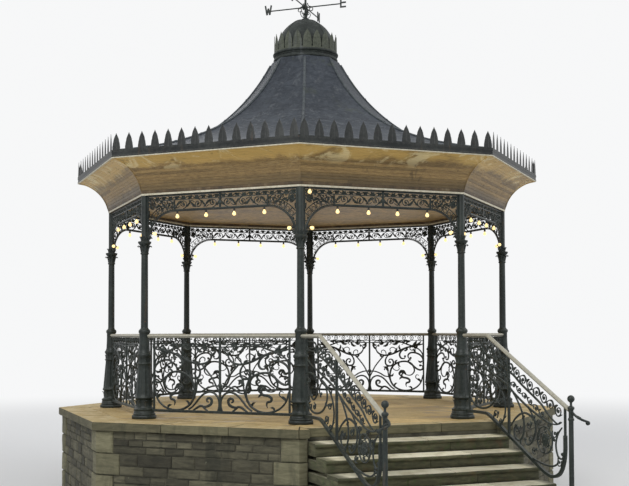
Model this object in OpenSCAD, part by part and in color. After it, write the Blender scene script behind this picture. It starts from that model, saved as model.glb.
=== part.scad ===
// Octagonal cast-iron bandstand on a stone plinth, millimetres.
// The octagon's axis is the Z axis, the ground is z = 0 and the entrance side faces -Y.

/* [Plan] */
// Distance from the centre to each column's axis
column_circle_r = 2900; // [2600:10:3300]
// Distance from the column line out to the platform's edge
platform_margin = 720; // [500:10:900]
// Height of the deck above the ground
deck_h = 1200; // [900:10:1500]

/* [Plinth] */
// Thickness of the masonry wall
wall_t = 450; // [430:5:520]
// Overhang of the coping past the wall
coping_overhang = 60; // [30:5:90]
// Thickness of the coping and of the paved deck
coping_h = 105; // [80:5:140]
// Width of the coping slabs from front to back
coping_w = 420; // [380:5:480]
// Length of a corner stone along each side
quoin_leg = 330; // [250:5:450]
// How far the corner stones stand proud of the walls
quoin_proud = 12; // [5:1:25]

/* [Steps] */
// Number of risers from the ground to the deck
risers = 8; // [7:1:8]
// Going of each step
going = 320; // [280:5:350]
// Distance that the steps reach past each stair rail
flight_margin = 160; // [110:5:220]
// How far the deck's edge is set back at the flight
edge_setback = 150; // [120:5:200]
// Thickness of the nosing
nosing_t = 45; // [30:1:60]
// Projection of the nosing past the riser
nosing_out = 28; // [15:1:40]

/* [Columns] */
// Height of the columns, from the deck to the ring beam
column_h = 2885; // [2700:5:3100]
// Width across the flats of the foot plate
plate_w = 300; // [290:2:340]
// Thickness of the foot plate
plate_h = 45; // [30:1:60]
// Diameter of the round base above the plate
base_d = 270; // [250:2:286]
// Diameter of the pedestal at its foot
pedestal_foot_d = 232; // [200:2:244]
// Diameter of the pedestal at its top
pedestal_top_d = 160; // [150:2:176]
// Height of the pedestal's top moulding above the deck
pedestal_h = 690; // [620:5:740]
// Diameter of the neck where the handrail meets it
neck_d = 130; // [120:1:144]
// Diameter of the shaft at its foot
shaft_d = 94; // [84:1:104]
// Diameter of the shaft at its top
shaft_top_d = 86; // [76:1:90]
// Diameter of the capital's abacus
abacus_d = 172; // [140:2:190]

/* [Railing] */
// Height of the handrail's top above the deck
rail_h = 1087; // [1050:1:1120]
// Width of the handrail
rail_w = 56; // [40:1:70]
// Height of the handrail's section
rail_t = 46; // [30:1:55]
// Height of the bottom rail's underside above the deck
rail_gap = 92; // [80:1:100]
// Thickness of the bars and scrolls, front to back
lattice_t = 24; // [14:1:30]
// Width of a scroll bar seen from the front
scroll_w = 24; // [14:1:28]
// Width of an upright bar
upright_w = 22; // [16:1:30]
// Distance from the column's axis to the panel's end bar
end_bar_in = 150; // [135:1:170]
// Radius of the two great scrolls
great_r = 290; // [265:1:300]
// Radius of the arches at the foot of the middle bar
foot_arch_r = 122; // [105:1:130]
// Number of small rings under the handrail
bead_count = 14; // [8:2:16]
// Radius of a small ring
bead_r = 40; // [28:1:42]

/* [Stair rails] */
// Distance from the column line to the newels
newel_run = 2371; // [2300:10:2450]
// Diameter of the newel posts
newel_d = 54; // [48:1:90]
// Diameter of the ball on top of each newel
newel_ball_d = 80; // [66:1:100]
// Distance from the column line to the standard part way down
standard_run = 1120; // [1040:10:1180]
// Depth of the raking panel's upper band
upper_band = 260; // [200:5:320]

/* [Frieze] */
// Depth of the frieze in the middle of a bay
frieze_h = 215; // [180:5:260]
// Radius of the arch at the frieze's ends
arch_r = 400; // [350:5:430]
// Number of rings along a frieze
frieze_count = 10; // [6:2:10]
// Thickness of the frieze, front to back
frieze_t = 22; // [14:1:30]

/* [Eaves] */
// Height of the ring beam
beam_h = 60; // [45:1:80]
// Width of the ring beam
beam_w = 110; // [95:1:140]
// Rise of the cove from the beam to the gutter
cove_rise = 390; // [330:5:450]
// Reach of the eaves past the beam's face
eaves_out = 420; // [350:5:480]
// Bow of the cove, measured from its straight chord
cove_bow = 84; // [50:2:110]
// Thickness of the cove's boards and of the ceiling
board_t = 24; // [16:1:32]
// Width of the gutter
gutter_w = 110; // [90:2:140]
// Height of the gutter
gutter_h = 80; // [70:1:115]
// Thickness of the gutter's metal
gutter_t = 8; // [5:0.5:12]
// Height of a leaf of the eaves cresting
leaf_h = 215; // [151:2:231]
// Width of a leaf of the eaves cresting
leaf_w = 120; // [80:2:130]
// Number of leaves along each side
leaf_count = 14; // [10:1:15]

/* [Roof] */
// Height of the roof from the gutter's top to its neck
roof_h = 1710; // [1500:10:2000]
// Corner radius of the roof's neck
roof_neck_r = 500; // [470:5:560]
// Hollow of the roof's sweep, a smaller value is more hollow
roof_sweep = 800; // [400:10:1500]
// Thickness of the roof's boards and sheet
roof_t = 42; // [30:1:60]
// Width of a hip roll
hip_w = 44; // [30:1:60]

/* [Cupola] */
// Height of the moulded ring under the cupola
ring_h = 118; // [90:2:150]
// Radius of the moulded ring
ring_r = 486; // [470:2:520]
// Number of leaves around the cupola
crown_count = 20; // [16:2:24]
// Height of the leaves around the cupola
crown_h = 280; // [180:5:300]
// Radius of the dome
dome_r = 430; // [380:2:440]
// Height of the dome
dome_h = 525; // [400:5:600]
// Thickness of the dome
dome_t = 20; // [12:1:30]

/* [Weathervane] */
// Height of the compass arms above the dome
arms_up = 195; // [150:5:220]
// Reach of each arm to its letter
arm_reach = 545; // [480:5:620]
// Height of a letter
letter_h = 150; // [110:2:170]
// Turn of the arms about the axis
arms_turn = -131; // [-180:1:180]
// Turn of the pointer about the axis
pointer_turn = 20; // [-180:5:180]
// Half the length of the pointer
pointer_reach = 430; // [350:10:480]
// Height of the pointer above the arms
pointer_up = 330; // [260:10:400]

/* [Lamps] */
// Diameter of the lamp cable
cable_d = 10; // [8:0.5:14]
// Distance from the frieze's edge to the middle of a lamp
lamp_drop = 66; // [60:1:80]
// Diameter of a lamp
lamp_d = 48; // [40:1:54]
// Distance of the inner lamps from the middle of the bay
lamp_inner = 200; // [150:5:350]
// Distance of the outer lamps from the middle of the bay
lamp_outer = 620; // [450:5:640]
// Angle up the arch at which its lamp hangs
lamp_angle = 18; // [10:1:60]

/* [Hidden] */
step_names = [for (i = [1 : risers - 1]) str("step_", i)];
column_names = [for (i = [1 : 8]) str("column_", i)];
railing_names = [for (i = [1 : 7]) str("railing_", i)];
frieze_names = [for (i = [1 : 8]) str("frieze_", i)];

seat = 0.3;
half_side = 22.5;
cos_side = cos(half_side);
bay_half = column_circle_r * sin(half_side);
column_a = column_circle_r * cos_side;
platform_a = column_a + platform_margin;
wall_a = platform_a - coping_overhang;
wall_in_a = wall_a - wall_t;
wall_h = deck_h - coping_h;
stair_edge = platform_a - edge_setback;
riser = deck_h / risers;
slope = riser / going;
stair_w = 2 * (bay_half + flight_margin);
frieze_bar = 20;
arch_foot = column_h - frieze_h - arch_r + frieze_bar;
beam_z = deck_h + column_h;
cove_z = beam_z + beam_h;
eaves_z = cove_z + cove_rise;
beam_out_a = column_a + beam_w / 2;
gutter_out_a = beam_out_a + eaves_out;
gutter_in_a = gutter_out_a - gutter_w;
cove_out = eaves_out - gutter_t - seat;
roof_z = eaves_z + gutter_h;
eaves_r = gutter_out_a / cos_side;
roof_edge_r = (gutter_in_a + gutter_t + 30) / cos_side;
neck_z = roof_z + roof_h;
ring_top_z = neck_z + ring_h;
dome_top_z = ring_top_z + dome_h;
arms_z = dome_top_z + arms_up;
pointer_z = arms_z + pointer_up;

stone = [0.42, 0.40, 0.34];
pale_stone = [0.62, 0.57, 0.45];
iron = [0.16, 0.20, 0.18];
timber = [0.66, 0.52, 0.30];
lead = [0.24, 0.26, 0.28];
glow = [1.0, 0.90, 0.62];

// An upright octagonal prism whose flats lie at the distance a
module octagon(a, z0, z1) {
  translate([0, 0, z0])
    rotate([0, 0, half_side])
      cylinder(r = a / cos_side, h = z1 - z0, $fn = 8);
}

// An octagonal ring between the flats at a_in and a_out
module octagon_ring(a_in, a_out, z0, z1) {
  difference() {
    octagon(a_out, z0, z1);
    octagon(a_in, z0 - 1, z1 + 1);
  }
}

// A round ring seen from the front
module ring2(c, r, w) {
  translate(c)
    difference() {
      circle(r = r + w / 2, $fn = 48);
      circle(r = r - w / 2, $fn = 48);
    }
}

// A straight bar seen from the front
module bar2(p, q, w) {
  d = q - p;
  translate(p)
    rotate(atan2(d[1], d[0]))
      translate([0, -w / 2])
        square([norm(d), w]);
}

// Part of a ring, at most a quarter, from the angle a0 to a1
module arc2(c, r, w, a0, a1) {
  far = 2 * r;
  mid = (a0 + a1) / 2;
  intersection() {
    ring2(c, r, w);
    translate(c)
      polygon([
        [0, 0],
        far * [cos(a0), sin(a0)],
        far * [cos(mid), sin(mid)],
        far * [cos(a1), sin(a1)]
      ]);
  }
}

// Stands a front view up in bay k, on the column line
module in_bay(k, t) {
  rotate([0, 0, 45 * k])
    translate([0, -column_a, 0])
      rotate([90, 0, 0])
        linear_extrude(height = t, center = true)
          children();
}

// Stands a side view up beside the flight, its x running outwards from the axis
module beside_flight(side, t) {
  translate([side * bay_half, 0, 0])
    rotate([0, 0, -90])
      rotate([90, 0, 0])
        linear_extrude(height = t, center = true)
          children();
}

// The rubble that the paving lies on, inside the walls
module plinth_fill() {
  color(stone) octagon(wall_in_a - seat, 0, wall_h);
}

// The long boxes that part the walls from the corner stones
module wall_spans(a) {
  span = 2 * (wall_a * tan(half_side) - quoin_leg);
  for (k = [0 : 3])
    rotate([0, 0, 45 * k])
      translate([-span / 2, -2 * a, -1])
        cube([span, 4 * a, wall_h + 2]);
}

module stair_gap(z0) {
  translate([-stair_w / 2, -2 * platform_a, z0])
    cube([stair_w, 2 * platform_a - stair_edge, deck_h]);
}

module plinth_walls() {
  color(stone)
    difference() {
      intersection() {
        octagon_ring(wall_in_a, wall_a, 0, wall_h);
        wall_spans(wall_a);
      }
      stair_gap(-1);
    }
}

module corner_stones() {
  color(pale_stone)
    difference() {
      octagon_ring(wall_in_a, wall_a + quoin_proud, 0, wall_h);
      wall_spans(wall_a);
      stair_gap(-1);
    }
}

module coping() {
  color(pale_stone)
    difference() {
      octagon_ring(platform_a - coping_w, platform_a, wall_h, deck_h);
      stair_gap(wall_h - 1);
    }
}

module deck() {
  color(pale_stone) octagon(platform_a - coping_w, wall_h, deck_h);
}

// Step i is a course of the flight, counted down from the deck
module step(i) {
  top = deck_h - i * riser;
  front = stair_edge + i * going;
  color(pale_stone) {
    translate([-stair_w / 2, nosing_out - front, top - riser])
      cube([stair_w, front - nosing_out - stair_edge, riser]);
    translate([-stair_w / 2, -front, top - nosing_t])
      cube([stair_w, going, nosing_t]);
  }
}

// The half profile of a column, from the deck up
function column_profile() = [
  [0, plate_h],
  [base_d / 2 + 7, plate_h],
  [base_d / 2 + 7, plate_h + 24],
  [base_d / 2, plate_h + 30],
  [base_d / 2, rail_gap + 37],
  [base_d / 2 - 18, rail_gap + 44],
  [base_d / 2 - 32, rail_gap + 62],
  [base_d / 2 - 32, rail_gap + 158],
  [pedestal_foot_d / 2 + 8, rail_gap + 168],
  [pedestal_foot_d / 2 + 8, rail_gap + 190],
  [pedestal_foot_d / 2, rail_gap + 200],
  [pedestal_top_d / 2, pedestal_h],
  [pedestal_top_d / 2 + 12, pedestal_h + 8],
  [pedestal_top_d / 2 + 12, pedestal_h + 26],
  [pedestal_top_d / 2, pedestal_h + 34],
  [pedestal_top_d / 2, pedestal_h + 106],
  [pedestal_top_d / 2 + 14, pedestal_h + 116],
  [pedestal_top_d / 2 + 14, pedestal_h + 140],
  [pedestal_top_d / 2, pedestal_h + 150],
  [pedestal_top_d / 2, pedestal_h + 166],
  [neck_d / 2 + 6, pedestal_h + 182],
  [neck_d / 2, rail_h - rail_t - 20],
  [neck_d / 2, rail_h + 8],
  [neck_d / 2 + 10, rail_h + 22],
  [neck_d / 2 + 10, rail_h + 52],
  [shaft_d / 2 + 5, rail_h + 72],
  [shaft_d / 2, rail_h + 84],
  [shaft_top_d / 2, arch_foot - 170],
  [shaft_top_d / 2 + 12, arch_foot - 164],
  [shaft_top_d / 2 + 12, arch_foot - 148],
  [shaft_top_d / 2 + 1, arch_foot - 142],
  [shaft_top_d / 2 + 8, arch_foot - 80],
  [abacus_d / 2 - 8, arch_foot - 36],
  [abacus_d / 2 - 8, arch_foot - 26],
  [abacus_d / 2, arch_foot - 20],
  [abacus_d / 2, arch_foot],
  [shaft_top_d / 2, arch_foot],
  [shaft_top_d / 2, column_h],
  [0, column_h]
];

module column(k) {
  rotate([0, 0, 45 * k - half_side])
    translate([0, -column_circle_r, deck_h])
      color(iron) {
        rotate([0, 0, half_side])
          cylinder(d = plate_w / cos_side, h = plate_h, $fn = 8);
        rotate_extrude($fn = 64)
          polygon(column_profile());
      }
}

// Front view of a railing panel, with its z counted from the deck
panel_half = bay_half - end_bar_in;
rail_low = rail_h - rail_t;
bottom_bar = 34;
panel_foot = rail_gap + bottom_bar;
bead_z = rail_low - 2 * bead_r - 8;
great_x = panel_half - great_r - 10;
great_z = panel_foot + great_r - 6;

// A point of the panel, given for a panel of 960 by 827
function spot(x, z) = [x * panel_half / 960, panel_foot + z * (bead_z - panel_foot) / 827];
panel_scale = min(panel_half / 960, (bead_z - panel_foot) / 827);
function on_ring(c, r, t) = c + r * [cos(t), sin(t)];

// The right half of a panel
module half_panel() {
  arch_top = [great_x - 0.25 * great_r, great_z - 0.05 * great_r];
  arch_big = 0.75 * great_r;
  inner = [arch_top[0], arch_top[1] + 0.15 * great_r];
  inner_r = 0.6 * great_r;
  hammock = spot(250, 724);
  hammock_r = 135 * panel_scale;
  line_end = spot(955, 789);
  line_start = on_ring(hammock, hammock_r, -35);
  hook_c = spot(834, 514);
  hook_r2 = panel_half - hook_c[0];
  curl_c = spot(620, 614);
  line_fall = (line_end[1] - line_start[1]) / (line_end[0] - line_start[0]);
  curl_end = [curl_c[0], line_start[1] + line_fall * (curl_c[0] - line_start[0])];
  curl_r2 = 76 * panel_scale;
  volute = spot(356, 468);
  volute_r = 62 * panel_scale;
  tail_r = 0.3 * great_r;
  tail_c = [inner[0] + inner_r - tail_r, inner[1]];
  low_hook = spot(893, 424);
  low_hook_r = panel_half - low_hook[0];
  foot_c = [foot_arch_r + upright_w / 2, panel_foot + foot_arch_r];
  foot_run = foot_arch_r * (1 + sin(40)) * tan(40);
  foot_hook = foot_c + [0.22, -0.13] * foot_arch_r;
  foot_hook_r = 0.4 * foot_arch_r;
  foot_peak = [foot_c[0] + 0.95 * foot_arch_r, foot_hook[1] - foot_hook_r];
  bar2([panel_half, rail_gap + 4], [panel_half, rail_low + 4], upright_w);
  arc2([great_x, great_z], great_r, scroll_w, 180, 270);
  arc2([great_x, great_z], great_r, scroll_w, 269, 360);
  arc2(arch_top, arch_big, scroll_w, 90, 181);
  arc2(inner, inner_r, scroll_w, 0, 92);
  arc2(tail_c, tail_r, scroll_w, -90, 1);
  arc2(tail_c, tail_r, scroll_w, -150, -89);
  bar2(on_ring(inner, inner_r, 45), on_ring(low_hook, low_hook_r, 200), scroll_w);
  arc2(low_hook, low_hook_r, scroll_w, 190, 275);
  arc2(low_hook, low_hook_r, scroll_w, 274, 361);
  arc2(hook_c, hook_r2, scroll_w, -20, 70);
  arc2(hook_c, hook_r2, scroll_w, 69, 159);
  arc2(hammock, hammock_r, scroll_w, 180, 260);
  arc2(hammock, hammock_r, scroll_w, 259, 330);
  bar2(line_start, line_end, scroll_w);
  bar2(spot(480, 820), spot(955, 590), scroll_w);
  bar2(curl_end, curl_c + [0, curl_r2], scroll_w);
  arc2(curl_c, curl_r2, scroll_w, 60, 150);
  arc2(curl_c, curl_r2, scroll_w, 149, 239);
  ring2(volute, volute_r, scroll_w);
  bar2(on_ring(volute, volute_r, 100), on_ring(hammock, hammock_r, -52), scroll_w);
  bar2(spot(0, 230), on_ring(hammock, hammock_r, -80), scroll_w);
  bar2(spot(0, 312), spot(370, 190), scroll_w);
  arc2(foot_c, foot_arch_r, scroll_w, 40, 111);
  arc2(foot_c, foot_arch_r, scroll_w, 110, 181);
  bar2([upright_w / 2, panel_foot - 4], [upright_w / 2, foot_c[1]], scroll_w);
  foot_end = foot_c[0] + foot_arch_r * cos(40) + foot_run;
  bar2(on_ring(foot_c, foot_arch_r, 40), [foot_end, panel_foot - 4], scroll_w);
  arc2(foot_hook, foot_hook_r, scroll_w, 0, 91);
  arc2(foot_hook, foot_hook_r, scroll_w, 90, 181);
  arc2(foot_hook, foot_hook_r, scroll_w, 180, 271);
  bar2(foot_hook - [0, foot_hook_r], foot_peak, scroll_w);
  bar2([foot_c[0] + 0.3 * foot_arch_r, panel_foot - 4], foot_peak, scroll_w);
  bar2(foot_peak, [foot_c[0] + 2 * foot_arch_r, panel_foot - 4], scroll_w);
}

module railing_lattice() {
  bead_pitch = 2 * panel_half / bead_count;
  for (s = [0, 1])
    mirror([s, 0])
      half_panel();
  bar2([0, rail_gap + 4], [0, rail_low + 4], upright_w);
  bar2([-panel_half, bead_z], [panel_half, bead_z], 14);
  for (i = [0 : bead_count - 1])
    ring2([-panel_half + (i + 0.5) * bead_pitch, rail_low - bead_r - 1], bead_r, 12);
}

module railing(k) {
  reach = bay_half - neck_d / 2 - seat;
  foot_reach = bay_half - base_d / 2 - seat;
  color(iron) {
    in_bay(k, lattice_t)
      translate([0, deck_h])
        railing_lattice();
    in_bay(k, rail_w)
      translate([-reach, deck_h + rail_low])
        square([2 * reach, rail_t]);
    in_bay(k, lattice_t + 10)
      translate([-foot_reach, deck_h + rail_gap])
        square([2 * foot_reach, bottom_bar]);
  }
}

// Side view of a stair rail: x outwards from the axis, y up from the ground
rake_start = stair_edge + 70;
newel_a = column_a + newel_run;
standard_a = column_a + standard_run;
slim_a = newel_a - newel_d / 2 - 83;
corner_r = 230;
rail_start = column_a + neck_d / 2 + seat;
foot_start = column_a + base_d / 2 + seat;
rail_end = newel_a - newel_d / 2 - seat;
function rake_drop(x) = max(0, x - rake_start) * slope;
function step_top(x) = deck_h - riser * ceil((x - stair_edge) / going);

module stair_lattice() {
  top = deck_h + rail_low;
  low = deck_h + rail_gap + bottom_bar / 2;
  corner_a = slim_a - corner_r;
  tilt = atan(slope);
  corner_z = low - rake_drop(corner_a) + corner_r / cos(tilt);
  meet = [corner_a - corner_r * sin(tilt), corner_z - corner_r * cos(tilt)];
  bar2([foot_start, low], [rake_start, low], bottom_bar);
  bar2([rake_start, low], meet, bottom_bar);
  arc2([corner_a, corner_z], corner_r, bottom_bar, -90 - tilt, -45);
  arc2([corner_a, corner_z], corner_r, bottom_bar, -46, 1);
  bar2([slim_a, corner_z], [slim_a, top + 4 - rake_drop(slim_a)], upright_w);
  bar2([standard_a, low - rake_drop(standard_a)], [standard_a, top + 4 - rake_drop(standard_a)], upright_w);
  bar2([foot_start + 60, low], [foot_start + 60, top + 4], upright_w);
  bar2([rake_start, top - upper_band], [slim_a, top - upper_band - rake_drop(slim_a)], scroll_w);
  bar2([foot_start + 60, top - upper_band], [rake_start, top - upper_band], scroll_w);
  for (i = [0 : 4]) {
    x = standard_a + (i + 0.5) * (slim_a - standard_a) / 5;
    ring2([x, top - upper_band / 2 - rake_drop(x)], upper_band / 2, scroll_w);
  }
  for (i = [0 : 2]) {
    x = foot_start + 60 + (i + 0.5) * (standard_a - foot_start - 60) / 3;
    ring2([x, top - upper_band / 2 - rake_drop(x)], upper_band / 2, scroll_w);
  }
  lower_r = (top - upper_band - low) / 2;
  for (x = [foot_start + 60 + lower_r, standard_a - lower_r])
    ring2([x, low + lower_r - rake_drop(x)], lower_r, scroll_w);
  for (x = [standard_a + lower_r, slim_a - lower_r])
    ring2([x, low + lower_r - rake_drop(x)], lower_r, scroll_w);
}

module stair_rail(side) {
  low = deck_h + rail_low;
  color(iron) {
    beside_flight(side, lattice_t)
      stair_lattice();
    beside_flight(side, rail_w)
      polygon([
        [rail_start, low],
        [rake_start, low],
        [rail_end, low - rake_drop(rail_end)],
        [rail_end, low + rail_t - rake_drop(rail_end)],
        [rake_start, low + rail_t],
        [rail_start, low + rail_t]
      ]);
  }
}

newel_foot = step_top(newel_a);
newel_top = deck_h + rail_h - rake_drop(newel_a) + 70;

// The dropped end runs forward from the newel, turns outward and ends in a knob.
// It lies in a plane that falls away from the flight.
module dropped_end() {
  run = 85;
  bend_r = 70;
  reach = 65;
  end_d = 28;
  knob_d = 50;
  rotate(a = 32, v = [0.82, 0.57, 0]) {
    rotate([90, 0, 0])
      cylinder(d = end_d, h = run, $fn = 32);
    translate([bend_r, -run, 0])
      rotate([0, 0, 180])
        rotate_extrude(angle = 90, $fn = 96)
          translate([bend_r, 0])
            circle(d = end_d, $fn = 32);
    translate([bend_r, -run - bend_r, 0])
      rotate([0, 90, 0])
        cylinder(d = end_d, h = reach, $fn = 32);
    translate([bend_r + reach + 14, -run - bend_r, -12])
      sphere(d = knob_d, $fn = 48);
  }
}

module newel(side) {
  color(iron) {
    translate([side * bay_half, -newel_a, newel_foot])
      rotate_extrude($fn = 48)
        polygon([
          [0, 0],
          [newel_d / 2 + 36, 0],
          [newel_d / 2 + 36, 18],
          [newel_d / 2 + 12, 34],
          [newel_d / 2 + 8, 70],
          [newel_d / 2, 84],
          [newel_d / 2, newel_top - newel_foot - 74],
          [newel_d / 2 + 10, newel_top - newel_foot - 66],
          [newel_d / 2 + 10, newel_top - newel_foot - 50],
          [newel_d / 4, newel_top - newel_foot - 40],
          [newel_d / 4, newel_top - newel_foot + 8],
          [0, newel_top - newel_foot + 8]
        ]);
    translate([side * bay_half, -newel_a, newel_top + newel_ball_d / 2])
      sphere(d = newel_ball_d, $fn = 48);
    translate([side * bay_half, -newel_a, deck_h + rail_low + rail_t / 2 - rake_drop(newel_a)])
      mirror([(1 - side) / 2, 0, 0])
        dropped_end();
  }
}

// Front view of the running band of a frieze, with its z counted from the deck
frieze_foot = column_h - frieze_h;
arch_x = bay_half - shaft_top_d / 2 - seat - arch_r;

module frieze(k) {
  reach = arch_x + arch_r;
  low = frieze_foot + frieze_bar + seat;
  ring_w = 14;
  ring_r = (frieze_h - 2 * frieze_bar - seat + 6 - ring_w) / 2;
  mid = low + ring_r + ring_w / 2;
  pitch = 2 * reach / frieze_count;
  end = reach - upright_w / 2;
  color(iron)
    in_bay(k, frieze_t)
      translate([0, deck_h]) {
        translate([-reach, column_h - frieze_bar - seat])
          square([2 * reach, frieze_bar]);
        translate([-arch_x + seat, frieze_foot])
          square([2 * (arch_x - seat), frieze_bar + 4]);
        bar2([0, frieze_foot], [0, column_h - seat], upright_w);
        for (s = [-1, 1]) {
          bar2([s * end, low], [s * end, column_h - seat], upright_w);
          bar2([s * (arch_x - 12), frieze_foot], [s * (arch_x - 12), column_h - seat], upright_w);
        }
        for (i = [0 : frieze_count - 1])
          ring2([-reach + (i + 0.5) * pitch, mid], ring_r, ring_w);
        bar2([-reach + pitch / 2 - ring_r, mid], [-reach, mid], ring_w);
        for (i = [1 : frieze_count - 1]) {
          x = i * pitch - reach;
          bar2([x - pitch / 2 + ring_r, mid], [x + pitch / 2 - ring_r, mid], ring_w);
        }
        bar2([reach - pitch / 2 + ring_r, mid], [reach, mid], ring_w);
      }
}

// The quarter arches under the friezes, two to each bay
module frieze_arches() {
  reach = arch_x + arch_r;
  top = frieze_foot + frieze_bar;
  spandrel_r = 0.14 * arch_r;
  inset = spandrel_r + frieze_bar;
  color(iron)
    for (k = [0 : 7])
      in_bay(k, frieze_t)
        translate([0, deck_h])
          for (s = [0, 1])
            mirror([s, 0]) {
              arc2([arch_x, top - arch_r], arch_r - frieze_bar / 2, frieze_bar, 0, 90);
              bar2([reach - frieze_bar / 2, top - arch_r], [reach - frieze_bar / 2, top], frieze_bar);
              bar2([arch_x, top - frieze_bar / 2], [reach, top - frieze_bar / 2], frieze_bar);
              ring2([reach - inset, top - inset], spandrel_r, 14);
            }
}

module ring_beam() {
  color(pale_stone) octagon_ring(column_a - beam_w / 2, beam_out_a, beam_z, cove_z);
}

module ceiling() {
  color(timber) octagon(beam_out_a - 1.1 * board_t, cove_z, cove_z + board_t);
}

// The cove's outer face runs on an arc from the beam to the gutter
chord = norm([cove_out, cove_rise]);
bow_r = (pow(chord / 2, 2) + pow(cove_bow, 2)) / (2 * cove_bow);
half_bow = asin(chord / 2 / bow_r);
chord_tilt = atan2(cove_rise, cove_out);
bow_centre = [beam_out_a + cove_out / 2, cove_z + cove_rise / 2]
  + (bow_r - cove_bow) * [sin(chord_tilt), -cos(chord_tilt)];
function bow_point(t, r) = bow_centre + r * [cos(t), sin(t)];
bow_from = chord_tilt + 90 + half_bow;
bow_to = chord_tilt + 90 - half_bow;
bow_steps = 10;

module cove() {
  angles = [for (i = [0 : bow_steps]) bow_from + (bow_to - bow_from) * i / bow_steps];
  face = [for (t = angles) bow_point(t, bow_r)];
  back = [for (i = [bow_steps : -1 : 0]) bow_point(angles[i], bow_r + board_t)];
  foot = [[beam_out_a - 1.02 * board_t, cove_z]];
  color(timber)
    rotate([0, 0, half_side])
      rotate_extrude($fn = 8)
        polygon([for (p = concat(face, back, foot)) [p[0] / cos_side, p[1]]]);
}

gutter_floor = eaves_z + board_t + seat;
function roof_at(r) = neck_z + sweep_k * (1 / (r + roof_sweep) - 1 / (roof_neck_r + roof_sweep));
sweep_k = roof_h / (1 / (roof_neck_r + roof_sweep) - 1 / (eaves_r + roof_sweep));

module gutter() {
  in_top = roof_at((gutter_in_a + gutter_t) / cos_side) - roof_t - seat;
  sole = gutter_t + seat;
  color(iron) {
    octagon_ring(gutter_out_a - gutter_t, gutter_out_a, eaves_z, roof_z);
    octagon_ring(gutter_in_a + sole, gutter_out_a - sole, gutter_floor, gutter_floor + gutter_t);
    octagon_ring(gutter_in_a, gutter_in_a + gutter_t, gutter_floor, in_top);
  }
}

// The outline of one leaf, standing on y = 0: a plain point at full = 0, rounder sides at full = 1
module leaf2(w, h, full) {
  edge = [
    [0.5, 0],
    [0.5, 0.07],
    [0.46 + 0.04 * full, 0.26],
    [0.385 + 0.065 * full, 0.5],
    [0.24 + 0.06 * full, 0.76],
    [0.11 + 0.02 * full, 0.91],
    [0, 1]
  ];
  n = len(edge);
  polygon(concat(
    [for (p = edge) [p[0] * w, p[1] * h]],
    [for (i = [n - 2 : -1 : 0]) [-edge[i][0] * w, edge[i][1] * h]]
  ));
}

leaf_t = 12;
leaf_strip = 14;

module cresting() {
  a = gutter_out_a - leaf_t / 2;
  side = 2 * (a - leaf_t / 2) * tan(half_side);
  leaf_end = leaf_w / 2 + 2;
  pitch = (side - 2 * leaf_end) / (leaf_count - 1);
  color(iron)
    for (k = [0 : 7])
      rotate([0, 0, 45 * k])
        translate([0, -a, roof_z + seat])
          rotate([90, 0, 0])
            linear_extrude(height = leaf_t, center = true) {
              translate([-side / 2 + seat, 0])
                square([side - 2 * seat, leaf_strip]);
              for (i = [0 : leaf_count - 1])
                translate([leaf_end + i * pitch - side / 2, leaf_strip - 4])
                  leaf2(leaf_w, leaf_h, 0);
            }
}

// The roof is a hollow sweep from the gutter to a flat rim at its neck
roof_rim = roof_neck_r - dome_r + 50;
roof_steps = 14;
roof_span = roof_edge_r - roof_neck_r;
roof_radii = [for (i = [0 : roof_steps]) roof_neck_r + roof_span * pow(i / roof_steps, 1.4)];

module roof() {
  color(lead)
    rotate([0, 0, half_side])
      rotate_extrude($fn = 8)
        polygon(concat(
          [[roof_neck_r - roof_rim, neck_z]],
          [for (r = roof_radii) [r, roof_at(r)]],
          [for (i = [roof_steps : -1 : 0]) [roof_radii[i], roof_at(roof_radii[i]) - roof_t]],
          [[roof_neck_r - roof_rim, neck_z - roof_t]]
        ));
}

module hip_rolls() {
  first = 1;
  color(lead)
    for (k = [0 : 7])
      rotate([0, 0, 45 * k - half_side - 90])
        rotate([90, 0, 0])
          linear_extrude(height = hip_w, center = true)
            polygon(concat(
              [for (i = [first : roof_steps]) [roof_radii[i], roof_at(roof_radii[i]) + seat]],
              [
                for (i = [roof_steps : -1 : first])
                  [roof_radii[i], roof_at(roof_radii[i]) + seat + hip_w * 0.6]
              ]
            ));
}

module cupola_ring() {
  color(lead)
    translate([0, 0, neck_z + seat])
      rotate_extrude($fn = 64)
        polygon([
          [dome_r - 60, 0],
          [ring_r - 22, 0],
          [ring_r - 8, 0.12 * ring_h],
          [ring_r - 8, 0.29 * ring_h],
          [ring_r - 26, 0.38 * ring_h],
          [ring_r - 26, 0.60 * ring_h],
          [ring_r, 0.72 * ring_h],
          [ring_r, ring_h],
          [dome_r - 60, ring_h]
        ]);
}

crown_t = 14;
crown_strip = 22;

module cupola_leaves() {
  r = ring_r - 24;
  w = 2 * PI * r / crown_count * 0.9;
  color(lead)
    translate([0, 0, ring_top_z + 2 * seat]) {
      difference() {
        cylinder(r = r + crown_t / 2, h = crown_strip, $fn = 64);
        translate([0, 0, -1])
          cylinder(r = r - crown_t / 2, h = crown_strip + 2, $fn = 64);
      }
      for (i = [0 : crown_count - 1])
        rotate([0, 0, 360 / crown_count * i])
          translate([0, -r, crown_strip - 6])
            rotate([90, 0, 0])
              linear_extrude(height = crown_t, center = true)
                leaf2(w, crown_h - crown_strip, 1);
    }
}

module dome() {
  color(lead)
    translate([0, 0, ring_top_z + 2 * seat])
      rotate_extrude($fn = 64)
        polygon(concat(
          [for (t = [0 : 9 : 90]) [dome_r * cos(t), dome_h * pow(sin(t), 0.9)]],
          [for (t = [90 : -9 : 0]) [(dome_r - dome_t) * cos(t), (dome_h - dome_t) * pow(sin(t), 0.9)]]
        ));
}

spindle_r = 16;

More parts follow.
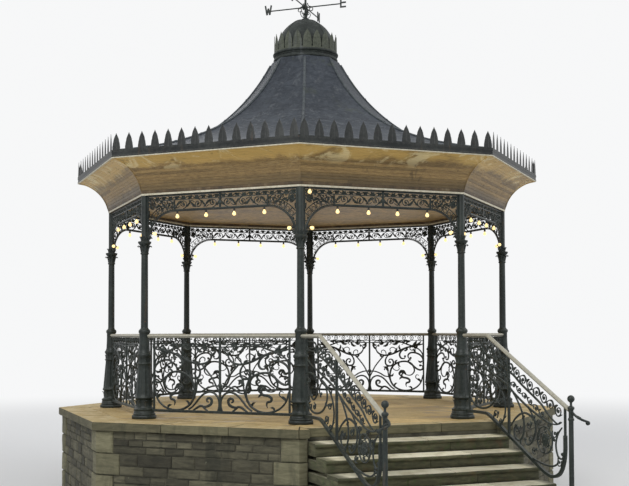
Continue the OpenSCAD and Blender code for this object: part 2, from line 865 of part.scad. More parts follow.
module spindle() {
  up = arms_up;
  top = pointer_z - dome_top_z;
  color(iron)
    translate([0, 0, dome_top_z + 3 * seat])
      rotate_extrude($fn = 48)
        polygon([
          [0, 0],
          [64, 0],
          [58, 14],
          [30, 30],
          [22, 70],
          [34, 86],
          [34, 96],
          [20, 112],
          [spindle_r, up - 40],
          [spindle_r, top],
          [0, top]
        ]);
}

// A bar of a letter, in hundredths of the letter's height
module stroke(p, q) {
  bar2(p * letter_h / 100, q * letter_h / 100, 0.15 * letter_h);
}

module letter(i) {
  if (i == 0) {
    for (y = [7, 50, 93]) stroke([0, y], [66, y]);
    stroke([59, 50], [59, 7]);
    stroke([7, 50], [7, 93]);
  }
  if (i == 1) {
    for (y = [7, 50, 93]) stroke([0, y], [60, y]);
    stroke([7, 0], [7, 100]);
  }
  if (i == 2) {
    stroke([7, 0], [7, 100]);
    stroke([59, 0], [59, 100]);
    stroke([7, 96], [59, 4]);
  }
  if (i == 3) {
    stroke([3, 100], [20, 4]);
    stroke([20, 4], [35, 70]);
    stroke([35, 70], [50, 4]);
    stroke([50, 4], [67, 100]);
  }
}

arm_d = 18;
arm_t = 12;
letter_up = -0.4;

module compass_arms() {
  hub_r = spindle_r + 16;
  color(iron)
    translate([0, 0, arms_z]) {
      difference() {
        translate([0, 0, -24])
          cylinder(r = hub_r, h = 48, $fn = 48);
        translate([0, 0, -25])
          cylinder(r = spindle_r + seat, h = 50, $fn = 48);
      }
      for (i = [0 : 3])
        rotate([0, 0, arms_turn + 90 * i]) {
          translate([hub_r - 4, 0, 0])
            rotate([0, 90, 0])
              cylinder(d = arm_d, h = arm_reach - hub_r + 0.14 * letter_h, $fn = 24);
          rotate([90, 0, 0])
            linear_extrude(height = arm_t, center = true) {
              translate([arm_reach, letter_up * letter_h])
                letter(i);
              arc2([hub_r + 58, 64], 58, 12, 180, 270);
              ring2([hub_r + 58, -32], 26, 10);
            }
        }
    }
}

module pointer() {
  hub_r = spindle_r + 10;
  color(iron)
    translate([0, 0, pointer_z + seat])
      rotate([0, 0, pointer_turn]) {
        cylinder(r = hub_r, h = 40, $fn = 48);
        translate([0, 0, 40 + hub_r * 0.8])
          sphere(r = hub_r, $fn = 48);
        rotate([90, 0, 0])
          linear_extrude(height = arm_t, center = true) {
            bar2([-pointer_reach, 20], [pointer_reach - 60, 20], arm_d);
            polygon([
              [pointer_reach, 20],
              [pointer_reach - 130, 80],
              [pointer_reach - 96, 20],
              [pointer_reach - 130, -40]
            ]);
            polygon([
              [-pointer_reach, 110],
              [-pointer_reach + 170, 64],
              [-pointer_reach + 120, 20],
              [-pointer_reach + 170, -24],
              [-pointer_reach, -70],
              [-pointer_reach + 60, 20]
            ]);
          }
      }
}

// The lamps hang on a cable clipped under the friezes and arches
cable_gap = 0.6;
cable_arch_r = arch_r - frieze_bar - cable_d / 2 - cable_gap;
arch_centre_z = deck_h + frieze_foot + frieze_bar - arch_r;

module lamp_cable() {
  color(iron)
    for (k = [0 : 7])
      rotate([0, 0, 45 * k])
        translate([0, -column_a, arch_centre_z]) {
          translate([-arch_x, 0, cable_arch_r])
            rotate([0, 90, 0])
              cylinder(d = cable_d, h = 2 * arch_x, $fn = 24);
          for (s = [0, 1])
            mirror([s, 0, 0])
              translate([arch_x, 0, 0])
                rotate([90, 0, 0])
                  rotate_extrude(angle = 90, $fn = 96)
                    translate([cable_arch_r, 0])
                      circle(d = cable_d, $fn = 24);
        }
}

// Puts its children at each lamp, their z running from the cable to the lamp.
// The first hangs from the ring beam at the head of column 1.
module at_lamps() {
  translate([105 - bay_half, -column_a - 40, beam_z + cable_d / 2])
    rotate([180, 0, 0])
      children();
  for (k = [0 : 7])
    rotate([0, 0, 45 * k])
      translate([0, -column_a, arch_centre_z])
        for (s = [-1, 1]) {
          for (u = [lamp_inner, lamp_outer])
            translate([s * u, 0, cable_arch_r])
              rotate([180, 0, 0])
                children();
          translate([
            s * (arch_x + cable_arch_r * cos(lamp_angle)),
            0,
            cable_arch_r * sin(lamp_angle)
          ])
            rotate([0, -s * (90 + lamp_angle), 0])
              children();
        }
}

holder_d = 28;
holder_l = lamp_drop - lamp_d / 2 - cable_d / 2 - seat;

module lamp_holders() {
  color(iron)
    at_lamps()
      translate([0, 0, cable_d / 2 + seat])
        cylinder(d = holder_d, h = holder_l, $fn = 24);
}

module lamps() {
  color(glow)
    at_lamps() {
      translate([0, 0, cable_d / 2 + holder_l + 2 * seat])
        cylinder(d = holder_d - 6, h = lamp_d / 3, $fn = 24);
      translate([0, 0, lamp_drop + 2])
        sphere(d = lamp_d, $fn = 32);
    }
}

plinth_fill();
plinth_walls();
corner_stones();
coping();
deck();
for (i = [1 : risers - 1])
  step(i);
for (i = [1 : 8])
  column(i - 1);
for (i = [1 : 7])
  railing(i);
stair_rail(-1);  // stair_rail_left
stair_rail(1);  // stair_rail_right
newel(-1);  // newel_left
newel(1);  // newel_right
for (i = [1 : 8])
  frieze(i - 1);
frieze_arches();
ring_beam();
ceiling();
cove();
gutter();
cresting();
roof();
hip_rolls();
cupola_ring();
cupola_leaves();
dome();
spindle();
compass_arms();
pointer();
lamp_cable();
lamp_holders();
lamps();
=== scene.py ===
import random
from math import asin, atan2, ceil, cos, dist, exp, hypot, pi, radians, sin, sqrt, tan

import bmesh
import bpy
from mathutils import Matrix, Vector
from mathutils.noise import noise


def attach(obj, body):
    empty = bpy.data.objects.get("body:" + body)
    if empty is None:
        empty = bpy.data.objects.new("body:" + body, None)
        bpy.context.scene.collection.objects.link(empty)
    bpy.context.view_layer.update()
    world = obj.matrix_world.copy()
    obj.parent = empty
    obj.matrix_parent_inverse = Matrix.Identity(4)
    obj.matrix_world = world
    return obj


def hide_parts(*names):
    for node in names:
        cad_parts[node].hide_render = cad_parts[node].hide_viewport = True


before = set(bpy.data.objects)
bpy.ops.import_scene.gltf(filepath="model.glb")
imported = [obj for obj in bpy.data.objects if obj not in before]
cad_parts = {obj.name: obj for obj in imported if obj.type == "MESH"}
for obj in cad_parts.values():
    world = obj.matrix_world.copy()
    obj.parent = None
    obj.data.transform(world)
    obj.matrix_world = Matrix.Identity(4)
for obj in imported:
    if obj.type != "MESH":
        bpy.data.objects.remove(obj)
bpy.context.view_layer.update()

chance = random.Random(11)

# Sizes that several pieces share, in metres
plan = {
    "columnCircle": 2.9,
    "platformMargin": 0.72,
    "deck": 1.2,
    "copingDepth": 0.42,
    "copingHeight": 0.105,
    "copingOverhang": 0.06,
    "wallThickness": 0.45,
    "flightMargin": 0.16,
    "edgeSetback": 0.15,
    "columnHeight": 2.885,
    "seat": 0.0003,
    "crease": 38,
}
turn = radians(45)
cosSide = cos(turn / 2)
tanSide = tan(turn / 2)
columnLine = plan["columnCircle"] * cosSide
bayHalf = plan["columnCircle"] * sin(turn / 2)
deck = plan["deck"]
platformEdge = columnLine + plan["platformMargin"]
wallFace = platformEdge - plan["copingOverhang"]
wallInside = wallFace - plan["wallThickness"]
deckEdge = platformEdge - plan["copingDepth"]
wallTop = deck - plan["copingHeight"]
stairEdge = platformEdge - plan["edgeSetback"]
stairHalf = bayHalf + plan["flightMargin"]
beamLow = deck + plan["columnHeight"]
seat = plan["seat"]


# Points from numbers in thousandths, two to a point
def mm(*numbers):
    return [(a / 1000, b / 1000) for a, b in zip(numbers[::2], numbers[1::2])]


# Points moved to stand about (u, z), upside down where way is -1
def shifted(points, u, z, way=1):
    return [(u + a, z + way * b) for a, b in points]


def rectangle(u0, u1, z0, z1):
    return [(u0, z0), (u1, z0), (u1, z1), (u0, z1)]


# A point at the distance r from (u, z), at an angle in degrees
def polar(r, angle, u=0.0, z=0.0):
    return (u + r * cos(radians(angle)), z + r * sin(radians(angle)))


def circle(u, z, r, count=16):
    return [polar(r, 360 * i / count, u, z) for i in range(count)]


def spiral(u, z, r0, r1, start, sweep, count):
    steps = [i / (count - 1) for i in range(count)]
    return [polar(r0 + (r1 - r0) * t, start + sweep * t, u, z) for t in steps]


# A point of bay k: u to the right as seen from outside, a out from the axis; halves are corners
def bayPoint(k, u, a, z):
    c, s = cos(turn * k), sin(turn * k)
    return (u * c + a * s, u * s - a * c, z)


# Places a front view on the column line of bay k
def onColumnLine(k):
    return lambda u, out, z: bayPoint(k, u, columnLine + out, deck + z)


# Places a side view beside the flight: the left has side -1, the right 1
def besideFlight(side):
    return lambda u, out, z: (side * (bayHalf + out), -u, deck + z)


# The numbers of the points round the edge of n rows of m points
def borderOf(m, n):
    right, upper = range(2 * m - 1, n * m, m), range(n * m - 2, n * m - m - 1, -1)
    return [*range(m), *right, *upper, *range(n * m - 2 * m, 0, -m)]


def gridFaces(m, n, first=0):
    corners = [first + i * m + j for i in range(n - 1) for j in range(m - 1)]
    return [(a, a + 1, a + m + 1, a + m) for a in corners]


# Each item with the next one, and the last with the first
def pairsOf(items):
    return zip(items, [*items[1:], *items[:1]])


class Shape:
    # Collects points, faces and a shade for each point, then becomes a piece
    def __init__(self):
        self.points, self.faces, self.shades, self.soft = [], [], [], []

    def add(self, points, faces, shade=0.5, soft=True):
        first = len(self.points)
        self.points.extend(points)
        self.faces.extend([i + first for i in face] for face in faces)
        self.shades.extend([shade] * len(points))
        self.soft.extend([soft] * len(faces))

    # Adds another shape with every point moved
    def take(self, other, move):
        first = len(self.points)
        self.points.extend(move(*p) for p in other.points)
        self.faces.extend([i + first for i in face] for face in other.faces)
        self.shades.extend(other.shades)
        self.soft.extend(other.soft)

    def moved(self, move):
        made = Shape()
        made.take(self, move)
        return made

    # Joins rows of points, each row a closed section, and caps the two ends
    def loft(self, rows, shade=0.5, soft=True, closed=False, caps=True):
        n, m = len(rows), len(rows[0])
        faces = []
        for i in range(n if closed else n - 1):
            a, b = i * m, (i + 1) % n * m
            faces += [(a + j, a + (j + 1) % m, b + (j + 1) % m, b + j) for j in range(m)]
        if caps and not closed:
            faces += [range(m), range(n * m - m, n * m)]
        self.add([p for row in rows for p in row], faces, shade, soft)

    # A thin sheet from the rows of m points of its front, then those of its back
    def sheet(self, points, m, shade):
        half = len(points) // 2
        n = half // m
        faces = gridFaces(m, n) + gridFaces(m, n, half)
        faces += [(a, b, half + b, half + a) for a, b in pairsOf(borderOf(m, n))]
        self.add(points, faces, shade)


# A panel from its right half
def mirrored(half):
    panel = half.moved(lambda u, out, z: (u, out, z))
    panel.take(half, lambda u, out, z: (-u, out, z))
    return panel


def putIn(name, data):
    made = bpy.data.objects.new(name, data)
    bpy.context.scene.collection.objects.link(made)
    return made


def makePiece(name, shape, finish, *nodes, slot=None, crease=plan["crease"]):
    mesh = bpy.data.meshes.new(name)
    mesh.from_pydata(shape.points, [], shape.faces)
    mesh.polygons.foreach_set("use_smooth", shape.soft)
    shade = mesh.attributes.new("shade", "FLOAT", "POINT")
    shade.data.foreach_set("value", shape.shades)
    work = bmesh.new()
    work.from_mesh(mesh)
    bmesh.ops.recalc_face_normals(work, faces=work.faces)
    work.to_mesh(mesh)
    work.free()
    mesh.set_sharp_from_angle(angle=radians(crease))
    usualSlot, material = finishes[finish]
    mesh.materials.append(material)
    piece = putIn(name, mesh)
    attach(piece, "root")
    if nodes:
        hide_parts(*nodes)


# A smooth line through the given points, with a point about every gap metres
def smoothLine(points, gap=0.02, closed=False):
    p = [Vector(q) for q in points]
    if len(p) == 2:
        return p
    if closed:
        p = [p[-1]] + p + [p[0], p[1]]
    else:
        p = [2 * p[0] - p[1]] + p + [2 * p[-1] - p[-2]]
    line = []
    for a, b, c, d in zip(p, p[1:], p[2:], p[3:]):
        count = max(2, round((c - b).length / gap))
        for j in range(count):
            t = j / count
            line.append(0.5 * (2 * b + (c - a) * t + (2 * a - 5 * b + 4 * c - d) * t * t
                               + (3 * b - a - 3 * c + d) * t ** 3))
    if not closed:
        line.append(p[-2])
    return line


# Each point with its sideways direction and how far along it lies, from 0 to 1
def alongLine(line, closed=False):
    n = len(line)
    total = sum((b - a).length for a, b in zip(line, line[1:]))
    run, out = 0.0, []
    for i, p in enumerate(line):
        if closed:
            d = line[(i + 1) % n] - line[i - 1]
        else:
            d = line[min(i + 1, n - 1)] - line[max(i - 1, 0)]
        d.normalize()
        if i:
            run += (p - line[i - 1]).length
        out.append((p, Vector((-d[1], d[0])), run / total))
    return out


# A bar swept along a line seen from the front; its points are (u, z)
def strap(shape, points, width, depth, ends=(1.0, 1.0), swell=0.0, sides=6, closed=False, gap=0.02):
    taper = 0.2
    wide = sqrt(2) if sides == 4 else 1.0
    section = [polar(wide / 2, 360 * (j + 0.5) / sides) for j in range(sides)]
    rows = []
    for p, across, t in alongLine(smoothLine(points, gap, closed), closed):
        k = 1 + swell * sin(pi * t)
        if t < taper:
            k *= ends[0] + (1 - ends[0]) * t / taper
        if t > 1 - taper:
            k *= ends[1] + (1 - ends[1]) * (1 - t) / taper
        row = []
        for x, y in section:
            q = p + across * (x * width * k)
            row.append((q[0], y * depth * (0.55 + 0.45 * min(k, 1.0)), q[1]))
        rows.append(row)
    shape.loft(rows, soft=sides != 4, closed=closed)


def bar(shape, p, q, width, depth):
    strap(shape, [p, q], width, depth, sides=4)


# A leaf in relief that lies along a line seen from the front
def leaf(shape, points, width, lobes, depth):
    section = [(-1, 0), (-0.55, 0.85), (0, 0.3), (0.55, 0.85), (1, 0), (0, -0.7)]
    line = smoothLine(points, 0.016)
    if len(line) == 2:
        line = [line[0].lerp(line[1], i / 7) for i in range(8)]
    rows = []
    for p, across, t in alongLine(line):
        k = sin(pi * min(1, 0.06 + 0.94 * t) ** 0.8) ** 0.75
        k = max(k * (0.72 + 0.28 * abs(cos(lobes * pi * t))), 0.05)
        row = [(p + across * (x * width / 2 * k), y * depth / 2 * (0.4 + 0.6 * k)) for x, y in section]
        rows.append([(q[0], out, q[1]) for q, out in row])
    shape.loft(rows, 0.55)


# Leaves from a table of width, lobes and line, all in thousandths, about the point (u, z)
def leaves(shape, table, depth, u=0.0, z=0.0, way=1):
    for width, lobes, *line in table:
        leaf(shape, shifted(mm(*line), u, z, way), width / 1000, lobes, depth)


# A flattened boss, as at the eye of a scroll
def boss(shape, u, z, r, depth=0.026, sides=8):
    rows = []
    for angle in (-80, -40, 0, 40, 80):
        wide, out = polar(1, angle)
        rows.append([(x, depth / 2 * out, y) for x, y in circle(u, z, r * wide, sides)])
    shape.loft(rows)


# A curl of bar with a boss in its eye; its line is two radii, start, sweep and how many points
def curl(shape, u, z, line, width, eye, tip=0.7, depth=0.016, eyeDepth=0.022, sides=5, gap=0.02):
    strap(shape, spiral(u, z, *line), width, depth, (1.0, tip), sides=sides, gap=gap)
    boss(shape, u, z, eye, eyeDepth, 6)


def rosette(shape, u, z, r, petals, depth=0.024):
    for i in range(petals):
        angle = 360 * (i + 0.5) / petals
        leaf(shape, [polar(0.15 * r, angle, u, z), polar(r, angle, u, z)], r, 1, depth)
    boss(shape, u, z, 0.3 * r, depth + 0.012)


# A straight bar of one section (out, z) between two places
def runBar(shape, section, u0, u1, shade=0.5, soft=False, wander=lambda u, out: 0, stations=1):
    places = [u0 + (u1 - u0) * i / stations for i in range(stations + 1)]
    shape.loft([[(u, out, z + wander(u, out)) for out, z in section] for u in places], shade, soft)


# A closed section of (a, z) that runs round all eight sides
def roundSides(shape, section, soft=False):
    for k in range(8):
        ends = [[bayPoint(k, e * a * tanSide, a, z) for a, z in section] for e in (-1, 1)]
        shape.loft(ends, soft=soft, caps=False)


# A turned profile of (r, z); flutes is z from, z to, how many and how deep as a part of the radius
def lathe(shape, profile, sides, centre=(0, 0, 0), flutes=None):
    x, y, foot = centre
    rows = []
    for r, z in profile:
        ring = []
        for j in range(sides):
            a = 2 * pi * j / sides
            q = r
            if flutes and flutes[0] <= z <= flutes[1]:
                q = r * (1 - flutes[3] * (0.5 - 0.5 * cos(a * flutes[2])))
            ring.append((x + q * cos(a), y + q * sin(a), foot + z))
        rows.append(ring)
    shape.loft(rows)


# Keeps the part of a flat outline on one side of a line
def trim(outline, nx, ny, limit):
    kept = []
    for (ax, ay), (bx, by) in pairsOf(outline):
        da, db = ax * nx + ay * ny - limit, bx * nx + by * ny - limit
        if da <= 0:
            kept.append((ax, ay))
        if da * db < 0:
            t = da / (da - db)
            kept.append((ax + (bx - ax) * t, ay + (by - ay) * t))
    return kept


# Keeps the part of a rectangle inside the octagon whose sides lie at the limit from the axis
def inOctagon(outline, limit):
    for k in range(8):
        outline = trim(outline, sin(turn * k), -cos(turn * k), limit)
    return outline


# An upright block with all its edges taken off, on a flat outline that bulges everywhere
def block(shape, outline, z0, z1, edge, shade=0.5):
    pts = [Vector(p) for p in outline]
    pts = [p for p, q in pairsOf(pts) if (p - q).length > 1e-5]
    if len(pts) < 3:
        return
    if sum(p.cross(q) for p, q in pairsOf(pts)) < 0:
        pts.reverse()
    n = len(pts)
    inner, cut = [], []
    for before, here, after in zip([pts[-1], *pts], pts, [*pts[1:], pts[0]]):
        d0, d1 = (here - before).normalized(), (after - here).normalized()
        n0, n1 = Vector((-d0[1], d0[0])), Vector((-d1[1], d1[0]))
        inner.append(here + (n0 + n1) * (edge / max(0.3, 1 + n0.dot(n1))))
        reach = min(edge, 0.4 * (here - before).length, 0.4 * (after - here).length)
        cut += [here - d0 * reach, here + d1 * reach]
    levels = ((inner, z0), (cut, z0 + edge), (cut, z1 - edge), (inner, z1))
    verts = [(p[0], p[1], z) for outline, z in levels for p in outline]
    low, high, top = n, 3 * n, 5 * n
    faces = [range(n - 1, -1, -1), range(top, 6 * n)]
    faces += [(low + i, low + h, high + h, high + i) for i, h in pairsOf(range(2 * n))]
    for i, h in pairsOf(range(n)):
        a, b, c = 2 * i, 2 * i + 1, 2 * h
        faces += [(i, low + a, low + b), (i, low + b, low + c, h)]
        faces += [(high + a, high + b, top + i), (high + b, high + c, top + h, top + i)]
    shape.add(verts, faces, shade, soft=False)


# A socket that can be used in arithmetic
class Value:
    def __init__(self, tree, node, output=0):
        self.tree, self.node = tree, node
        self.socket = node.outputs[output] if node.outputs else None

    def output(self, name):
        return Value(self.tree, self.node, name)

    def __add__(self, other):
        return self.tree.math("ADD", self, other)

    def __sub__(self, other):
        return self.tree.math("SUBTRACT", self, other)

    def __rsub__(self, other):
        return self.tree.math("SUBTRACT", other, self)

    def __mul__(self, other):
        return self.tree.math("MULTIPLY", self, other)

    __radd__ = __add__

    # 0 below low, 1 above high and smooth between
    def between(self, low, high):
        return self.tree.add("MapRange", {"interpolation_type": "SMOOTHSTEP"},
                             {"Value": self, "From Min": low, "From Max": high})


# The nodes of a material or of the world
class Nodes:
    def __init__(self, tree):
        self.nodes, self.links = tree.nodes, tree.links
        self.nodes.clear()

    def add(self, kind, settings=None, sockets=None, output=0):
        node = self.nodes.new("ShaderNode" + kind)
        for name, value in (settings or {}).items():
            setattr(node, name, value)
        for name, value in (sockets or {}).items():
            self.feed(node.inputs[name], value)
        return Value(self, node, output)

    def feed(self, socket, value):
        if isinstance(value, Value):
            self.links.new(value.socket, socket)
        elif isinstance(value, tuple) and len(socket.default_value) == 4:
            socket.default_value = (*value, 1.0)
        else:
            socket.default_value = value

    def math(self, kind, a, b):
        return self.add("Math", {"operation": kind}, {0: a, 1: b})


class Finish(Nodes):
    def __init__(self, name, sockets=None):
        self.material = bpy.data.materials.new(name)
        self.material.use_nodes = True
        super().__init__(self.material.node_tree)
        self.shader = self.add("BsdfPrincipled")
        self.out = self.add("OutputMaterial", {}, {"Surface": self.shader})
        self.place = self.add("TexCoord", output="Object")
        self.normal = self.add("NewGeometry", output="True Normal")
        self.surface(sockets or {})

    def surface(self, sockets):
        for name, value in sockets.items():
            self.feed(self.shader.node.inputs[name], value)

    def part(self, vector, axis):
        return self.add("SeparateXYZ", {}, {0: vector}, axis)

    def times(self, a, b):
        return self.add("VectorMath", {"operation": "MULTIPLY"}, {0: a, 1: b})

    def noise(self, scale, detail, rough, stretch=None, warp=0.0):
        place = self.times(self.place, stretch) if stretch else self.place
        return self.add("TexNoise", {}, {
            "Vector": place, "Scale": scale, "Detail": detail, "Roughness": rough, "Distortion": warp})

    def shade(self):
        return self.add("Attribute", {"attribute_name": "shade"}, output="Fac")

    def mix(self, a, b, mask):
        return self.add("Mix", {"data_type": "RGBA"}, {0: mask, 6: a, 7: b}, 2)

    # Lays a tint over a colour where a noise is high
    def stained(self, colour, tint, amount, low, high, *cloud):
        return self.mix(colour, tint, self.noise(*cloud).between(low, high) * amount)

    # Makes a colour lighter above 1 and darker below it
    def scaled(self, colour, by):
        return self.times(colour, self.add("CombineXYZ", {}, {0: by, 1: by, 2: by}))

    # Varies a colour from stone to stone and with its grain
    def varied(self, colour, shadeRange, grain, grainRange):
        return self.scaled(colour, 1 + (self.shade() - 0.5) * shadeRange + (grain - 0.5) * grainRange)

    def finish(self, colour, roughness, height, depth, strength):
        bump = self.add("Bump", {}, {"Height": height, "Strength": strength, "Distance": depth})
        self.surface({"Base Color": colour, "Roughness": roughness, "Normal": bump})
        return self.material


# Sandstone, from the dark coursed walls to the pale quoins and copings; faces that point down are darkened
# as painted shade, and a paler top colour stands partly for light from above
def sandstone(name, dark, light, stain, staining, shadeRange, top=None):
    f = Finish(name)
    broad = f.noise(1.3, 5, 0.6)
    bed = f.noise(6, 6, 0.6, (1, 1, 5), 0.6)
    grain = f.noise(160, 3, 0.7)
    colour = f.mix(dark, light, (bed * 0.6 + broad * 0.4).between(0.3, 0.72))
    colour = f.varied(colour, shadeRange, grain, 0.35)
    up = f.part(f.normal, 2)
    streak = f.noise(3.2, 5, 0.65, (1, 1, 0.22), 0.4)
    # streaks of stain, plus painted shade: every face that points down is darkened towards the stain colour
    stainsAndShadeBelow = streak.between(0.5, 0.72) * staining + (1 - up.between(-0.6, -0.1)) * 0.4
    colour = f.mix(colour, stain, stainsAndShadeBelow.between(0, 1))
    lichen = f.noise(9, 6, 0.7).between(0.64, 0.72) * f.noise(38, 4, 0.7).between(0.45, 0.6)
    colour = f.mix(colour, (0.21, 0.215, 0.14), lichen * 0.45)
    # painted light: faces that point up take a paler top colour, standing partly for light from above and
    # partly for wear and stains
    if top:
        litAndWornTop = f.mix(top, (0.64, 0.52, 0.29), f.noise(5, 6, 0.65).between(0.38, 0.66))
        litAndWornTop = f.stained(litAndWornTop, (0.27, 0.17, 0.075), 0.6, 0.56, 0.68, 2.3, 6, 0.65, None, 0.8)
        colour = f.mix(colour, f.scaled(litAndWornTop, 0.85 + grain * 0.3), up.between(0.72, 0.95))
    height = bed * 0.5 + f.noise(34, 6, 0.7) * 0.6 + grain * 0.35
    return f.finish(colour, 0.95 - bed * 0.16, height, 0.006, 0.55)


def pavedStone():
    f = Finish("buffPaving")
    broad = f.noise(0.9, 5, 0.6, (1, 1, 1), 0.8)
    fine = f.noise(22, 6, 0.7)
    grain = f.noise(210, 2, 0.6)
    clouded = (broad * 0.55 + fine * 0.45).between(0.32, 0.68)
    colour = f.mix((0.40, 0.27, 0.095), (0.68, 0.515, 0.235), clouded)
    colour = f.varied(colour, 0.5, grain, 0.3)
    # darker, smoother patches scattered at random
    darkPatches = f.noise(1.9, 6, 0.6, (0.55, 1.6, 1), 1.2).between(0.54, 0.66)
    colour = f.mix(colour, (0.17, 0.105, 0.05), darkPatches * 0.7)
    colour = f.stained(colour, (0.66, 0.56, 0.36), 0.5, 0.6, 0.75, 4.5, 5, 0.65)
    rough = 0.78 - darkPatches * 0.28 + (fine - 0.5) * 0.2
    return f.finish(colour, rough, fine * 0.7 + grain * 0.3, 0.004, 0.4)


# The flight: pale tops painted as if lit from above, with risers and nosing fronts darker as painted shade,
# and moss and wet stains on them
def stepStone():
    f = Finish("stepsLitTopsShadedRisers")
    up = f.part(f.normal, 2).between(0.62, 0.93)
    bed = f.noise(7, 6, 0.6, (1, 1, 4), 0.5)
    grain = f.noise(170, 3, 0.7)
    top = f.mix((0.58, 0.53, 0.36), (0.80, 0.76, 0.57), f.noise(5, 5, 0.6).between(0.35, 0.65))
    face = f.mix((0.042, 0.042, 0.022), (0.10, 0.098, 0.052), bed.between(0.3, 0.7))
    face = f.stained(face, (0.055, 0.078, 0.024), 0.7, 0.52, 0.66, 11, 6, 0.7, (1, 1, 0.5))
    face = f.stained(face, (0.105, 0.058, 0.026), 0.55, 0.58, 0.72, 4, 5, 0.65, (1, 1, 0.6))
    # tread tops grow darker towards their ends, beyond about 1.1 from the middle of the flight
    away = f.math("ABSOLUTE", f.part(f.place, 0), 0)
    middleOfTread = 1 - (away + (bed - 0.5) * 0.16).between(1.10, 1.235)
    # painted light and shade: faces that point up take the pale top colour, all others take the dark face
    # colour
    colour = f.mix(face, top, up * (middleOfTread * 0.8 + 0.2))
    grime = f.noise(8, 6, 0.7, None, 0.6).between(0.58, 0.72) * up
    colour = f.varied(f.mix(colour, (0.27, 0.25, 0.15), grime * 0.5), 0.45, grain, 0.3)
    return f.finish(colour, 0.9 - up * 0.2, bed * 0.4 + f.noise(36, 6, 0.7) * 0.6 + grain * 0.3, 0.005, 0.5)


def mortar():
    f = Finish("limeMortar")
    grain = f.noise(120, 4, 0.7)
    colour = f.mix((0.028, 0.027, 0.019), (0.085, 0.08, 0.055), f.noise(5, 5, 0.6).between(0.35, 0.65))
    return f.finish(f.scaled(colour, 0.8 + grain * 0.4), 0.95, grain, 0.003, 0.6)


# Old gloss paint on cast iron, dusty on top and chipped to primer and rust here and there, with a painted
# highlight on the handrails where asked
def ironPaint(name, dark, light, dust, litHandrail=False):
    f = Finish(name, {"Specular IOR Level": 0.32})
    cloud = f.noise(2.4, 5, 0.6)
    fine = f.noise(26, 5, 0.65)
    pitting = f.noise(150, 3, 0.6)
    colour = f.mix(dark, light, (cloud * 0.5 + fine * 0.5).between(0.38, 0.66))
    up = f.part(f.normal, 2)
    dusty = up.between(0.2, 0.95) * fine.between(0.35, 0.65) * dust
    colour = f.mix(colour, (0.22, 0.225, 0.185), dusty)
    if litHandrail:
        # painted highlight: handrail faces, marked by a shade near 1, that point up or sideways are
        # lightened to cream
        handrailHighlight = f.shade().between(0.8, 0.95) * up.between(-0.6, 0.1) * (0.45 + fine * 0.6)
        colour = f.mix(colour, (0.58, 0.55, 0.44), handrailHighlight)
    chips = f.noise(19, 7, 0.72, None, 0.5).between(0.665, 0.69)
    rust = f.mix((0.10, 0.036, 0.014), (0.19, 0.085, 0.035), pitting)
    colour = f.mix(colour, rust, chips * 0.85)
    colour = f.stained(colour, (0.115, 0.075, 0.045), 0.28, 0.6, 0.72, 14, 4, 0.6, (1, 1, 0.12))
    rough = 0.36 + cloud * 0.14 + dusty * 0.5 + chips * 0.4
    return f.finish(colour, rough, fine * 0.5 + pitting * 0.25 - chips * 0.6, 0.0016, 0.5)


# Pale paint on the beam's lower face and brown above it, with faces that point down browned as painted shade
def palePaint():
    f = Finish("paleBeamPaint")
    fine = f.noise(30, 5, 0.6)
    streak = f.noise(6, 5, 0.65, (1, 1, 0.3))
    colour = f.mix((0.50, 0.46, 0.34), (0.68, 0.64, 0.51), fine.between(0.3, 0.7))
    brown = f.mix((0.05, 0.034, 0.018), (0.12, 0.08, 0.038), streak.between(0.35, 0.65))
    high = f.part(f.place, 2)
    # faces that point down take the brown as painted shade; the beam above its lowest band is brown as well
    under = 1 - f.part(f.normal, 2).between(-0.8, -0.4)
    dark = (high.between(4.106, 4.109) + under).between(0, 1) * (1 - high.between(4.3, 4.31))
    colour = f.mix(colour, brown, dark)
    colour = f.mix(colour, (0.27, 0.23, 0.14), streak.between(0.56, 0.7) * 0.6)
    chips = f.noise(24, 6, 0.7).between(0.68, 0.71)
    colour = f.mix(colour, (0.16, 0.12, 0.07), chips)
    return f.finish(colour, 0.45 + fine * 0.2, fine - chips * 0.5, 0.0015, 0.5)


# Varnished boards; in the cove, painted light turns them gold towards the eaves, with pale patches standing
# for light through the frieze, and painted shade darkens them lower down
def varnishedBoards(name, eaves=True):
    f = Finish(name)
    grain = f.noise(13, 6, 0.6, (1, 1, 9), 0.35)
    fibre = f.noise(70, 4, 0.7, (1, 1, 6))
    blotch = f.noise(1.7, 6, 0.62, None, 0.5)
    colour = f.mix((0.15, 0.09, 0.034), (0.36, 0.245, 0.095), (grain * 0.6 + fibre * 0.4).between(0.3, 0.68))
    colour = f.scaled(colour, 1 + (f.shade() - 0.5) * 0.55)
    if eaves:
        height = f.part(f.place, 2)
        # painted light towards the eaves, as gold boards and pale patches; painted shade lower down
        high = height.between(4.33, 4.50)
        paintedLightGold = (high + (blotch - 0.5) * 2.6).between(0.35, 0.95)
        colour = f.mix(colour, (0.74, 0.50, 0.16), paintedLightGold * (0.25 + high * 0.5))
        paintedLightPatches = f.noise(3.3, 6, 0.68, (1, 1, 1.6), 0.7).between(0.53, 0.63) * high
        colour = f.mix(colour, (0.82, 0.70, 0.40), paintedLightPatches * 0.8)
        paintedShadeLow = (1 - height.between(4.15, 4.36) + (blotch - 0.5) * 0.8).between(0.3, 1.1)
        colour = f.mix(colour, (0.06, 0.046, 0.024), paintedShadeLow * 0.7)
    else:
        colour = f.mix(colour, (0.62, 0.42, 0.16), (grain * 0.5 + blotch * 0.5).between(0.35, 0.65) * 0.75)
    stain = f.noise(5.5, 6, 0.7, (1, 1, 0.5), 0.8).between(0.6, 0.7)
    colour = f.mix(colour, (0.065, 0.05, 0.03), stain * 0.6)
    pale = f.noise(17, 6, 0.72).between(0.64, 0.7) * blotch.between(0.5, 0.62)
    colour = f.mix(colour, (0.60, 0.50, 0.31), pale * 0.5)
    return f.finish(colour, 0.34 + blotch * 0.2 + stain * 0.2, grain * 0.5 + fibre * 0.4, 0.002, 0.5)


